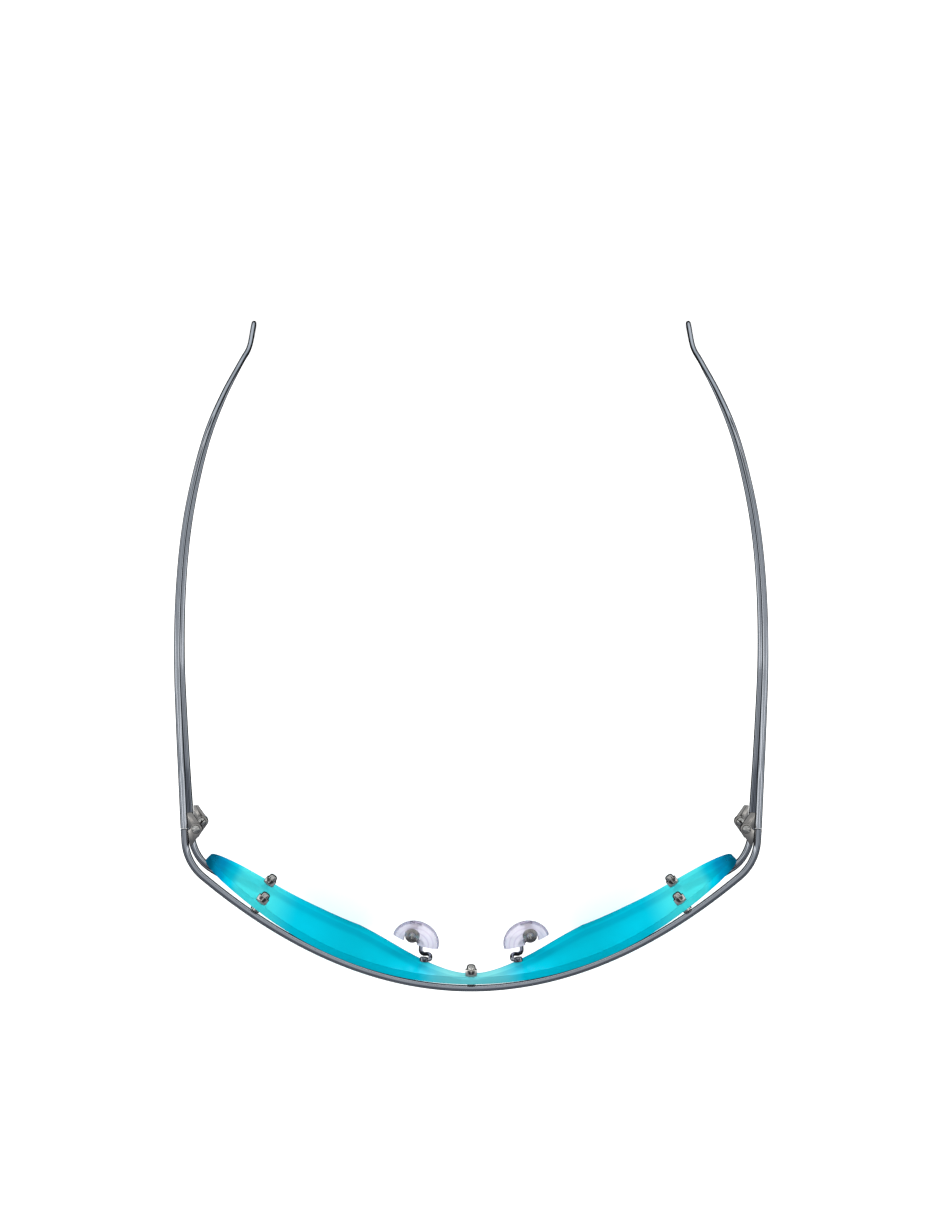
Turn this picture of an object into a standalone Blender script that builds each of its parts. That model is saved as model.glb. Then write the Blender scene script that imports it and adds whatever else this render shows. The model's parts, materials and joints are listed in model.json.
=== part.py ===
"""Wire-framed shield sunglasses: one wrap-round lens, a brow wire, looped wire temples and nose pads.

X runs across the face (+X is the wearer's left), +Y points to the temple tips, +Z is up.
The origin is the middle of the footprint, on the surface the glasses stand on.
"""
import math

import bmesh
import bpy
from mathutils import Matrix, Vector

MM = 0.001

# Overall layout
DEPTH_FRONT_TO_ORIGIN = 84.36 * MM    # brow wire's foremost centreline point to the origin
BROW_HEIGHT = 45.0 * MM               # brow wire centreline above the table, at the bridge
BROW_DIP = 3.0 * MM                   # how far the brow wire drops from bridge to hinge
GAP = 0.06 * MM                       # space left between pieces that touch

# Brow wire
BROW_BOW = 6.1                        # setback per metre squared of half width
BROW_RADIUS = 0.84 * MM
HINGE_WIRE_RADIUS = 0.95 * MM
CORNER_START = 67.5 * MM              # half width where the brow turns into the corner
CORNER_RADIUS = 12.6 * MM
SEAM_X = 72.25 * MM                   # half width of the seam between front and temple wires

# Lens
LENS_APEX = 1.3 * MM                  # lens front behind the brow wire centreline
LENS_RADIUS = 87.5 * MM
LENS_BARREL = 650.0 * MM
LENS_END_START = 52.0 * MM             # half width where the lens begins to flatten
LENS_END_FLATTENING = 7.0             # setback taken off per metre squared beyond it
LENS_THICKNESS = 1.75 * MM
LENS_TOP = 47.3 * MM
LENS_COLUMNS = 38
LENS_ROWS = 8
LOBE_FLAT = (30.0 * MM, 37.0 * MM)    # flat stretch that each lens lobe stands on

# Hinges
HINGE_X = 69.2 * MM
HINGE_SETBACK = 39.9 * MM
UPPER_HINGE_HEIGHT = BROW_HEIGHT - BROW_DIP
HINGE_SPACING = 18.0 * MM
KNUCKLE_RADIUS = 1.5 * MM
SLOT_RADIUS = 1.65 * MM               # room cut for the temple knuckle between the front leaf's cheeks
HINGE_STACK = 2.5 * MM
KNUCKLE_HEIGHT = 0.96 * MM
PIN_RADIUS = 0.55 * MM
HOLE_CLEARANCE = 0.05 * MM

# Studs, washers and cap nuts
STUD_RADIUS = 0.6 * MM
COLLAR_RADIUS = 1.25 * MM
WASHER_RADIUS = 1.5 * MM
WASHER_THICKNESS = 0.35 * MM
NUT_RADIUS = 1.68 * MM
NUT_FLATS_HEIGHT = 1.3 * MM
NUT_HEIGHT = 2.5 * MM
STUD_HEIGHT_BELOW_BROW = 32.5 * MM    # lower side studs, below the brow plane
SIDE_STUD_X = 55.2 * MM

# Nose pads
ARM_RADIUS = 0.53 * MM
ARM_FOOT_RADIUS = 1.1 * MM
ARM_FOOT_HEIGHT = 1.14 * MM
ARM_FOOT = (12.4 * MM, 28.0 * MM)      # half width and height of the arm's screw
ARM_ATTACH = math.radians(212.0)       # where the arm meets the box, round from the pad's back
PAD_AXIS = (15.2 * MM, 10.2 * MM)      # half width and setback of the pad screw
PAD_HEIGHT = 21.5 * MM
PAD_OFFSET = (-1.35 * MM, -1.3 * MM)    # middle of the pad's flat side, from the pad screw
NOTCH_RADIUS = 1.4 * MM                # room for the arm in the pad's flat side
PAD_TURN = math.radians(18.0)
PAD_HALF_WIDTH = 6.1 * MM
PAD_HALF_HEIGHT = 6.6 * MM
PAD_DEPTH = 5.2 * MM
BOX_RADIUS = 1.9 * MM
BOX_HEIGHT = 3.4 * MM
LUG_THICKNESS = 1.3 * MM
PAD_PIN_RADIUS = 0.45 * MM

# Finishes: colour, metallic, roughness, transmission
FINISHES = {
    "wire_chrome": ((0.72, 0.74, 0.77, 1.0), 1.0, 0.12, 0.0),
    "hinge_steel": ((0.55, 0.53, 0.50, 1.0), 1.0, 0.25, 0.0),
    "fastener_steel": ((0.50, 0.48, 0.44, 1.0), 1.0, 0.22, 0.0),
    "lens_tint": ((0.0, 0.62, 0.85, 0.9), 0.0, 0.06, 0.3),
    "washer_nylon": ((0.85, 0.88, 0.88, 1.0), 0.0, 0.4, 0.3),
    "pad_silicone": ((0.86, 0.82, 0.90, 0.5), 0.0, 0.15, 0.9),
}


# ---------------------------------------------------------------- scene helpers

def clear_scene():
    for obj in list(bpy.data.objects):
        bpy.data.objects.remove(obj, do_unlink=True)


def new_collection(name):
    collection = bpy.data.collections.new(name)
    bpy.context.scene.collection.children.link(collection)
    return collection


def finish_material(name):
    material = bpy.data.materials.get(name)
    if material:
        return material
    color, metallic, roughness, transmission = FINISHES[name]
    material = bpy.data.materials.new(name)
    material.use_nodes = True
    shader = material.node_tree.nodes["Principled BSDF"]
    shader.inputs["Base Color"].default_value = color
    shader.inputs["Metallic"].default_value = metallic
    shader.inputs["Roughness"].default_value = roughness
    shader.inputs["Transmission Weight"].default_value = transmission
    material.diffuse_color = color
    return material


def add_object(name, data, finish, collection):
    obj = bpy.data.objects.new(name, data)
    collection.objects.link(obj)
    data.materials.append(finish_material(finish))
    if obj.type == "MESH":
        data.shade_smooth()
        data.set_sharp_from_angle(angle=math.radians(35))
    return obj


def mesh_from(bm, name):
    mesh = bpy.data.meshes.new(name)
    bm.to_mesh(mesh)
    bm.free()
    return mesh


def add_cutter(name, bm):
    obj = bpy.data.objects.new(name, mesh_from(bm, name))
    cutters.objects.link(obj)
    obj.hide_render = True
    obj.display_type = "WIRE"
    return obj


def boolean(obj, cutter, operation="DIFFERENCE"):
    """Cut obj with cutter, both in world space, and keep the result as plain mesh."""
    modifier = obj.modifiers.new(operation.title(), "BOOLEAN")
    modifier.operation = operation
    modifier.solver = "EXACT"
    modifier.object = cutter
    depsgraph = bpy.context.evaluated_depsgraph_get()
    result = bpy.data.meshes.new_from_object(obj.evaluated_get(depsgraph))
    obj.modifiers.clear()
    old = obj.data
    obj.data = result
    bpy.data.meshes.remove(old)
    bpy.data.objects.remove(cutter, do_unlink=True)


def pivot(name, location):
    """An empty on a joint's axis, which the pieces that turn about it are parented to."""
    empty = bpy.data.objects.new(name, None)
    parts.objects.link(empty)
    empty.location = location
    bpy.context.view_layer.update()
    return empty


def hang_on(obj, empty):
    """Parent obj to the pivot and move its own origin to the joint's axis."""
    obj.data.transform(Matrix.Translation(-empty.location))
    obj.parent = empty


def mirrored(obj, name, finish):
    """The same piece for the wearer's right side."""
    bm = bmesh.new()
    bm.from_mesh(obj.data)
    bmesh.ops.scale(bm, vec=(-1, 1, 1), verts=bm.verts)
    bmesh.ops.reverse_faces(bm, faces=bm.faces)
    return add_object(name, mesh_from(bm, name), finish, parts)


# ---------------------------------------------------------------- shape helpers

def place(x, setback, z):
    """World point from half width, setback behind the brow wire, and height."""
    return Vector((x, setback - DEPTH_FRONT_TO_ORIGIN, z))


def frame_along(direction, origin):
    """Matrix whose +Z runs along direction, with its X kept level."""
    z_axis = direction.normalized()
    x_axis = Vector((0, 0, 1)).cross(z_axis)
    if x_axis.length < 1e-6:
        x_axis = Vector((1, 0, 0))
    x_axis.normalize()
    y_axis = z_axis.cross(x_axis)
    matrix = Matrix((x_axis, y_axis, z_axis)).transposed().to_4x4()
    matrix.translation = origin
    return matrix


def cylinder(radius, start, end, segments=12):
    """A capped cylinder as a bmesh, between two world points."""
    bm = bmesh.new()
    length = (end - start).length
    bmesh.ops.create_cone(bm, cap_ends=True, segments=segments, radius1=radius,
                          radius2=radius, depth=length)
    bmesh.ops.transform(bm, matrix=frame_along(end - start, (start + end) / 2), verts=bm.verts)
    return bm


def turned(profile, matrix, segments=14):
    """A solid turned about Z from a profile of (radius, height) points, top to bottom."""
    bm = bmesh.new()
    bottom, top = profile[-1], profile[0]
    points = [(0.0, top[1])] * (top[0] > 0) + list(profile) + [(0.0, bottom[1])] * (bottom[0] > 0)
    verts = [bm.verts.new((radius, 0, height)) for radius, height in points]
    edges = [bm.edges.new(pair) for pair in zip(verts, verts[1:])]
    bmesh.ops.spin(bm, geom=verts + edges, cent=(0, 0, 0), axis=(0, 0, 1), angle=math.tau,
                   steps=segments, use_merge=True)
    bmesh.ops.remove_doubles(bm, verts=bm.verts, dist=0.002 * MM)
    bmesh.ops.recalc_face_normals(bm, faces=bm.faces)
    bmesh.ops.transform(bm, matrix=matrix, verts=bm.verts)
    return bm


def wire_curve(name, points, radii, finish):
    """A round wire: a poly curve with a bevel, thick as radii says at each point."""
    curve = bpy.data.curves.new(name, "CURVE")
    curve.dimensions = "3D"
    curve.fill_mode = "FULL"
    curve.bevel_depth = 1.0
    curve.bevel_resolution = 2
    curve.use_fill_caps = True
    spline = curve.splines.new("POLY")
    spline.points.add(len(points) - 1)
    for spline_point, point, radius in zip(spline.points, points, radii):
        spline_point.co = (*point, 1.0)
        spline_point.radius = radius
    return add_object(name, curve, finish, parts)


def wire_mesh(name, points, radii, finish):
    """The same wire as a closed mesh, for pieces that are cut, joined or mirrored."""
    wire = wire_curve(name, points, radii, finish)
    depsgraph = bpy.context.evaluated_depsgraph_get()
    mesh = bpy.data.meshes.new_from_object(wire.evaluated_get(depsgraph))
    bpy.data.objects.remove(wire, do_unlink=True)
    bm = bmesh.new()
    bm.from_mesh(mesh)
    bpy.data.meshes.remove(mesh)
    bmesh.ops.remove_doubles(bm, verts=bm.verts, dist=0.002 * MM)
    return add_object(name, mesh_from(bm, name), finish, parts)


def extruded_outline(name, outline, bottom, top, matrix=None):
    """A flat outline of (x, y) points, filled and given its height, as a bmesh."""
    curve = bpy.data.curves.new(name, "CURVE")
    curve.dimensions = "2D"
    curve.fill_mode = "BOTH"
    curve.extrude = (top - bottom) / 2
    spline = curve.splines.new("POLY")
    spline.points.add(len(outline) - 1)
    spline.use_cyclic_u = True
    for spline_point, (x, y) in zip(spline.points, outline):
        spline_point.co = (x, y, 0, 1)
    holder = bpy.data.objects.new(name, curve)
    cutters.objects.link(holder)
    depsgraph = bpy.context.evaluated_depsgraph_get()
    mesh = bpy.data.meshes.new_from_object(holder.evaluated_get(depsgraph))
    bpy.data.objects.remove(holder, do_unlink=True)
    bm = bmesh.new()
    bm.from_mesh(mesh)
    bpy.data.meshes.remove(mesh)
    bmesh.ops.remove_doubles(bm, verts=bm.verts, dist=0.002 * MM)
    bmesh.ops.translate(bm, vec=(0, 0, (top + bottom) / 2), verts=bm.verts)
    bmesh.ops.recalc_face_normals(bm, faces=bm.faces)
    if matrix:
        bmesh.ops.transform(bm, matrix=matrix, verts=bm.verts)
    return bm


def arc(center, radius, start_deg, end_deg, steps):
    """Points on an arc, both ends included."""
    angles = [math.radians(start_deg + (end_deg - start_deg) * i / steps) for i in range(steps + 1)]
    return [(center[0] + radius * math.cos(a), center[1] + radius * math.sin(a)) for a in angles]


def smooth_path(knots, spacing):
    """Points along a Catmull-Rom curve through knots, about spacing apart."""
    ends = [knots[0] * 2 - knots[1]] + list(knots) + [knots[-1] * 2 - knots[-2]]
    points = []
    for a, b, c, d in zip(ends, ends[1:], ends[2:], ends[3:]):
        steps = max(2, round((c - b).length / spacing))
        for i in range(steps):
            t = i / steps
            points.append(0.5 * (2 * b + (c - a) * t + (2 * a - 5 * b + 4 * c - d) * t ** 2
                                 + (3 * b - a - 3 * c + d) * t ** 3))
    return points + [knots[-1]]


def blend_table(table, at):
    """Smooth value between the (position, value) knots of a table."""
    for (p0, v0), (p1, v1) in zip(table, table[1:]):
        if at <= p1:
            t = max(0.0, (at - p0) / (p1 - p0))
            return v0 + (v1 - v0) * t
    return table[-1][1]


# ---------------------------------------------------------------- lens

def lens_setback(x, z, radius=LENS_RADIUS):
    """Setback of the lens surface: a cylinder about a vertical axis, with a slight barrel."""
    drop = BROW_HEIGHT - z
    sweep = LENS_RADIUS - math.sqrt(radius ** 2 - x ** 2)
    sweep -= LENS_END_FLATTENING * max(0.0, abs(x) - LENS_END_START) ** 2
    return LENS_APEX + sweep + drop * abs(drop) / (2 * LENS_BARREL)


def lens_front(x, z):
    return place(x, lens_setback(x, z), z)


def lens_normal(x, z):
    """Unit normal of the lens front, pointing forwards."""
    step = 0.05 * MM
    across = lens_front(x + step, z) - lens_front(x - step, z)
    upward = lens_front(x, z + step) - lens_front(x, z - step)
    return across.cross(upward).normalized()


def foot_on_lens(point):
    """The point of the lens front nearest to point, and the normal there."""
    x, z = point.x, point.z
    for _ in range(30):
        surface, normal = lens_front(x, z), lens_normal(x, z)
        offset = point - surface
        sideways = offset - normal * offset.dot(normal)
        x += sideways.x
        z += sideways.z
    return lens_front(x, z), lens_normal(x, z)


def brow_height(x):
    return BROW_HEIGHT - BROW_DIP * (x / SEAM_X) ** 2


def half_lens_outline():
    """Front view of the left half: bridge, nose cut-out, lobe, lateral end and top edge."""
    lower = [(0, 39.5), (3.2, 38.8), (7.7, 33), (14.3, 21.8), (20.6, 10.8), (25.5, 4.0)]
    knots = [Vector((x * MM, z * MM)) for x, z in lower] + [Vector((LOBE_FLAT[0], 0))]
    nose = [(p.x, p.y) for p in smooth_path(knots, 2.6 * MM)]
    lateral = [(37, 0), (43, 1.2), (52, 6.0), (60, 13.8), (64.4, 22.0), (66.9, 30.5), (67.3, 37.5), (65.8, 42.0),
               (62.6, 44.4)]
    side = [(p.x, p.y) for p in smooth_path([Vector((x * MM, z * MM)) for x, z in lateral], 2.6 * MM)]
    lift = LENS_TOP - BROW_HEIGHT
    top = [(x * MM, brow_height(x * MM) + lift) for x in (57, 48, 40, 32, 24, 16, 8)]
    return nose + side + top


def build_lens():
    bm = bmesh.new()
    half_width, margin = 70 * MM, 4 * MM
    bmesh.ops.create_grid(bm, x_segments=LENS_COLUMNS, y_segments=LENS_ROWS, size=0.5)
    for vert in bm.verts:
        x = vert.co.x * 2 * half_width
        z = (vert.co.y + 0.5) * (LENS_TOP + 2 * margin) - margin
        vert.co = lens_front(x, z)
    bmesh.ops.recalc_face_normals(bm, faces=bm.faces)
    if sum(face.normal.y for face in bm.faces) > 0:
        bmesh.ops.reverse_faces(bm, faces=bm.faces)
    lens = add_object("lens", mesh_from(bm, "lens"), "lens_tint", parts)
    shell = lens.modifiers.new("Thickness", "SOLIDIFY")
    shell.thickness = LENS_THICKNESS
    shell.offset = -1
    half = half_lens_outline()
    outline = half + [(0, LENS_TOP)] + [(-x, z) for x, z in reversed(half) if x > 0]
    upright = Matrix.Rotation(math.radians(90), 4, "X")
    prism = extruded_outline("lens_outline", outline, -100 * MM, 100 * MM, upright)
    boolean(lens, add_cutter("lens_outline_cutter", prism), "INTERSECT")
    for surface, normal in stud_feet() + arm_feet():
        hole = cylinder(STUD_RADIUS + 0.1 * MM, surface + normal * 3 * MM, surface - normal * 5 * MM)
        boolean(lens, add_cutter("lens_hole_cutter", hole))
    return lens


# ---------------------------------------------------------------- front wires

def front_wire_points(start_x, height_at, end_x=SEAM_X):
    """Centreline of a front wire's left half, from start_x round the corner to the seam."""
    points = []
    steps = max(2, round((CORNER_START - start_x) / (3.4 * MM)))
    for i in range(steps + 1):
        x = start_x + (CORNER_START - start_x) * i / steps
        points.append((x, BROW_BOW * x ** 2))
    heading = math.atan(2 * BROW_BOW * CORNER_START)
    last_heading = math.radians(88)
    x0, s0 = points[-1]
    for i in range(1, 9):
        angle = heading + (last_heading - heading) * i / 8
        points.append((x0 + CORNER_RADIUS * (math.sin(angle) - math.sin(heading)),
                       s0 + CORNER_RADIUS * (math.cos(heading) - math.cos(angle))))
    points.append((end_x, HINGE_SETBACK - GAP))
    return [place(x, s, height_at(x)) for x, s in points]


def wire_radius_at(point):
    """Wires thicken from the brow's middle towards the hinge."""
    share = min(1.0, abs(point.x) / SEAM_X) ** 2
    return BROW_RADIUS + (HINGE_WIRE_RADIUS - BROW_RADIUS) * share


def build_brow_wire():
    left = front_wire_points(0.0, brow_height)
    right = [Vector((-p.x, p.y, p.z)) for p in reversed(left[1:])]
    points = right + left
    return wire_curve("brow_wire", points, [wire_radius_at(p) for p in points], "wire_chrome")


def lower_wire_height(x):
    """The lower wires fall from the lower hinges to the lower side studs."""
    hinge = UPPER_HINGE_HEIGHT - HINGE_SPACING
    end = BROW_HEIGHT - STUD_HEIGHT_BELOW_BROW
    share = min(1.0, max(0.0, (SEAM_X - 1.5 * MM - x) / (SEAM_X - SIDE_STUD_X)))
    return hinge + (end - hinge) * (share * share * (3 - 2 * share))


def lower_wire_path():
    """The lower wire follows the brow's bow, set back with the barrel of the lens."""
    barrel = (BROW_HEIGHT - lower_wire_height(SIDE_STUD_X)) ** 2 / (2 * LENS_BARREL)
    path = []
    for p in front_wire_points(SIDE_STUD_X - 1.6 * MM, lower_wire_height):
        share = min(1.0, max(0.0, (CORNER_START - p.x) / (CORNER_START - SIDE_STUD_X)))
        path.append(p + Vector((0, barrel * share, 0)))
    return path


def build_lower_wires():
    path = lower_wire_path()
    radii = [min(1.0, 0.55 + 0.45 * i) * wire_radius_at(p) for i, p in enumerate(path)]
    left = wire_mesh("lower_wire_left", path, radii, "wire_chrome")
    mirrored(left, "lower_wire_right", "wire_chrome")


# ---------------------------------------------------------------- studs, washers and cap nuts

def wire_point_near(path, x):
    """Point on a wire's path at half width x."""
    for a, b in zip(path, path[1:]):
        if a.x <= x <= b.x:
            return a.lerp(b, (x - a.x) / (b.x - a.x))
    raise ValueError("no wire at this half width")


def stud_sites():
    """Name and wire centreline point of each stud on the centre and left side."""
    brow = front_wire_points(0.0, brow_height)
    return [
        ("centre", wire_point_near(brow, 0.0)),
        ("upper_left", wire_point_near(brow, SIDE_STUD_X)),
        ("lower_left", wire_point_near(lower_wire_path(), SIDE_STUD_X)),
    ]


def flipped(vector):
    return Vector((-vector.x, vector.y, vector.z))


def stud_feet():
    """Where every stud meets the lens front, on both sides."""
    feet = []
    for name, point in stud_sites():
        surface, normal = foot_on_lens(point)
        feet.append((surface, normal))
        if name != "centre":
            feet.append((flipped(surface), flipped(normal)))
    return feet


def stud_profile(collar, reach):
    """Collar against the wire at the top, then a shank through lens, washer and nut."""
    return [(COLLAR_RADIUS, collar), (COLLAR_RADIUS, 0), (STUD_RADIUS, 0), (STUD_RADIUS, -reach)]


def cap_nut(matrix):
    """Six flats under a rounded cap, with a blind threaded hole from below."""
    bm = bmesh.new()
    bmesh.ops.create_cone(bm, cap_ends=True, segments=6, radius1=NUT_RADIUS, radius2=NUT_RADIUS,
                          depth=NUT_FLATS_HEIGHT)
    bmesh.ops.translate(bm, vec=(0, 0, NUT_FLATS_HEIGHT / 2), verts=bm.verts)
    bmesh.ops.transform(bm, matrix=matrix, verts=bm.verts)
    return bm


def nut_cap(matrix):
    dome_base = NUT_FLATS_HEIGHT - 0.2 * MM
    rise = NUT_HEIGHT - dome_base
    wide = 1.22 * MM
    profile = [(0.0, NUT_HEIGHT)]
    profile += [(wide * math.sin(a), dome_base + rise * math.cos(a))
                for a in (math.radians(d) for d in (22.5, 45, 67.5, 90))]
    return turned(profile, matrix, 12)


def build_stud_set(name, point):
    """The stud, washer and cap nut that tie one wire point to the lens."""
    surface, normal = foot_on_lens(point)
    back = -normal
    outward = frame_along(normal, surface)
    collar = (point - surface).length - wire_radius_at(point) - 2 * GAP
    washer_start = LENS_THICKNESS + GAP
    nut_start = washer_start + WASHER_THICKNESS + GAP
    reach = nut_start + NUT_FLATS_HEIGHT
    stud = turned([(r, h + GAP) for r, h in stud_profile(collar - GAP, reach)], outward)
    stud_obj = add_object("stud_" + name, mesh_from(stud, "stud_" + name), "fastener_steel", parts)
    washer = turned([(WASHER_RADIUS, WASHER_THICKNESS), (WASHER_RADIUS, 0)],
                    frame_along(back, surface + back * washer_start))
    washer_obj = add_object("washer_" + name, mesh_from(washer, "washer_" + name), "washer_nylon", parts)
    hole = cylinder(STUD_RADIUS + HOLE_CLEARANCE, surface, surface + back * 6 * MM)
    boolean(washer_obj, add_cutter("washer_hole", hole))
    seat = frame_along(back, surface + back * nut_start)
    nut_obj = add_object("cap_nut_" + name, mesh_from(cap_nut(seat), "cap_nut_" + name),
                         "fastener_steel", parts)
    boolean(nut_obj, add_cutter("nut_cap", nut_cap(seat)), "UNION")
    bore_end = surface + back * (reach + 0.3 * MM)
    boolean(nut_obj, add_cutter("nut_bore", cylinder(STUD_RADIUS + HOLE_CLEARANCE, surface, bore_end)))
    return stud_obj, washer_obj, nut_obj


def build_studs():
    for name, point in stud_sites():
        pieces = build_stud_set(name, point)
        if name != "centre":
            for piece in pieces:
                mirrored(piece, piece.name.replace("left", "right"), piece.data.materials[0].name)


# ---------------------------------------------------------------- hinges

def leaf_outline(forward):
    """Plan of a hinge leaf about the pin: a round knuckle and a tail that lies along the wire."""
    wire_inside = SEAM_X - HINGE_X - HINGE_WIRE_RADIUS - GAP
    lean = -0.1 if forward else 0.05
    knuckle = arc((0, 0), KNUCKLE_RADIUS, 60, 215, 9)
    tail = [(0.55 * MM, -3.35 * MM), (1.05 * MM, -4.15 * MM)]
    tail += [(wire_inside + lean * along, -along) for along in (4.1 * MM, 2.9 * MM, 0.25 * MM)]
    points = knuckle + tail + [(1.45 * MM, 0.1 * MM)]
    return points if forward else [(x, -y) for x, y in points]


def build_leaf(name, forward, pin, height):
    half = height / 2
    body = extruded_outline(name, leaf_outline(forward), -half, half, Matrix.Translation(pin))
    leaf = add_object(name, mesh_from(body, name), "hinge_steel", parts)
    reach = Vector((0, 0, 3 * MM))
    boolean(leaf, add_cutter("pin_hole", cylinder(PIN_RADIUS + HOLE_CLEARANCE, pin - reach, pin + reach)))
    if forward:
        slot = Vector((0, 0, KNUCKLE_HEIGHT / 2 + GAP))
        boolean(leaf, add_cutter("knuckle_slot", cylinder(SLOT_RADIUS, pin - slot, pin + slot, 20)))
    return leaf


def hinge_screw(name, pin):
    """Pan head on top of the stack and a shank to its underside, with a driver slot."""
    seat = HINGE_STACK / 2 + GAP
    profile = [(0.55 * MM, seat + 0.7 * MM), (0.95 * MM, seat + 0.5 * MM), (1.1 * MM, seat + 0.2 * MM),
               (1.1 * MM, seat), (PIN_RADIUS, seat), (PIN_RADIUS, -seat)]
    screw = add_object(name, mesh_from(turned(profile, Matrix.Translation(pin)), name),
                       "fastener_steel", parts)
    slot = bmesh.new()
    bmesh.ops.create_cube(slot, size=1.0)
    bmesh.ops.scale(slot, vec=(0.3 * MM, 4 * MM, 0.6 * MM), verts=slot.verts)
    bmesh.ops.rotate(slot, matrix=Matrix.Rotation(math.radians(50), 3, "Z"), verts=slot.verts)
    bmesh.ops.translate(slot, vec=pin + Vector((0, 0, seat + 0.75 * MM)), verts=slot.verts)
    boolean(screw, add_cutter("driver_slot", slot))
    return screw


def build_hinges(left_pivot, right_pivot):
    for level, height in (("upper", UPPER_HINGE_HEIGHT), ("lower", UPPER_HINGE_HEIGHT - HINGE_SPACING)):
        pin = place(HINGE_X, HINGE_SETBACK, height)
        front = build_leaf(f"front_leaf_{level}_left", True, pin, HINGE_STACK)
        rear = build_leaf(f"temple_leaf_{level}_left", False, pin, KNUCKLE_HEIGHT)
        screw = hinge_screw(f"hinge_screw_{level}_left", pin)
        mirrored(front, f"front_leaf_{level}_right", "hinge_steel")
        mirrored(screw, f"hinge_screw_{level}_right", "fastener_steel")
        hang_on(mirrored(rear, f"temple_leaf_{level}_right", "hinge_steel"), right_pivot)
        hang_on(rear, left_pivot)


# ---------------------------------------------------------------- temples

def temple_centreline():
    """Middle of the temple loop: bows out past the hinge, curves in and drops behind the ear."""
    knots = [(72.25, 39.9, 33.0), (72.9, 52, 33.0), (73.6, 66, 32.8), (74.2, 82, 32.1),
             (74.0, 98, 30.7), (72.9, 113, 28.5), (70.9, 126, 25.2), (67.9, 139, 20.0),
             (64.1, 149.6, 14.2), (60.1, 158.2, 8.7), (58.1, 162.4, 5.3), (57.2, 168.0, 1.6)]
    return smooth_path([place(x * MM, s * MM, z * MM) for x, s, z in knots], 4.2 * MM)


def temple_loop():
    """Upper wire back to the tip, a hairpin bend, and the lower wire forward to its hinge."""
    centre = temple_centreline()
    spread_table = [(0.0, 9.0), (14, 7.6), (40, 6.4), (80, 5.8), (105, 4.2), (122, 1.5), (128, 0.95), (200, 0.95)]
    upper, lower, thickness = [], [], []
    travelled = 0.0
    for i, point in enumerate(centre):
        before, after = centre[max(i - 1, 0)], centre[min(i + 1, len(centre) - 1)]
        tangent = (after - before).normalized()
        if i:
            travelled += (point - centre[i - 1]).length
        upright = Vector((0, 0, 1)) - tangent * tangent.z
        upright.normalize()
        if i == 0:
            upright = Vector((0, 0, 1))
        spread = blend_table(spread_table, travelled / MM) * MM
        upper.append(point + upright * spread)
        lower.append(point - upright * spread)
        share = min(1.0, travelled / (125 * MM))
        thickness.append(HINGE_WIRE_RADIUS + (0.62 * MM - HINGE_WIRE_RADIUS) * share)
    bend = []
    for degrees in (60, 30, 0, -30, -60):
        angle = math.radians(degrees)
        bend.append(centre[-1] + tangent * (0.95 * MM * math.cos(angle))
                    + upright * (0.95 * MM * math.sin(angle)))
    seam = Vector((0, GAP, 0))
    upper[0] += seam
    lower[0] += seam
    points = upper + bend + lower[::-1]
    radii = thickness + [thickness[-1]] * len(bend) + thickness[::-1]
    return points, radii


def build_temples(left_pivot, right_pivot):
    points, radii = temple_loop()
    left = wire_mesh("temple_wire_left", points, radii, "wire_chrome")
    right = mirrored(left, "temple_wire_right", "wire_chrome")
    hang_on(left, left_pivot)
    hang_on(right, right_pivot)


# ---------------------------------------------------------------- nose pads

def pad_frame():
    """Pad axes at the screw: X along the pad's back, Y out through its face, Z up."""
    matrix = Matrix.Rotation(PAD_TURN, 4, "Z")
    matrix.translation = place(PAD_AXIS[0], PAD_AXIS[1], PAD_HEIGHT)
    return matrix


def arm_feet():
    """Where each pad arm's screw goes through the lens, on both sides."""
    x, z = ARM_FOOT
    surface, normal = lens_front(x, z), lens_normal(x, z)
    return [(surface, normal), (flipped(surface), flipped(normal))]


def arm_path():
    """The S-shaped arm, from its foot on the lens back to the pad's box."""
    surface, normal = arm_feet()[0]
    foot = surface - normal * (LENS_THICKNESS + GAP + ARM_FOOT_HEIGHT / 2)
    inboard = Vector((-1, 0, 0))
    inboard = (inboard - normal * inboard.dot(normal)).normalized()
    start = foot + inboard * 0.55 * MM
    radial = Vector((math.cos(ARM_ATTACH), math.sin(ARM_ATTACH), 0))
    edge = pad_frame() @ (radial * (BOX_RADIUS + GAP))
    bends = [(10.5, 5.5, 26.8), (11.1, 5.8, 25.5), (12.2, 5.6, 24.1), (13.0, 6.1, 22.7)]
    knots = [start, foot + inboard * 1.45 * MM - normal * 0.25 * MM]
    knots += [place(x * MM, setback * MM, z * MM) for x, setback, z in bends]
    knots += [pad_frame() @ (radial * (BOX_RADIUS + NOTCH_RADIUS)), edge]
    return smooth_path(knots, 0.75 * MM)


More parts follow.
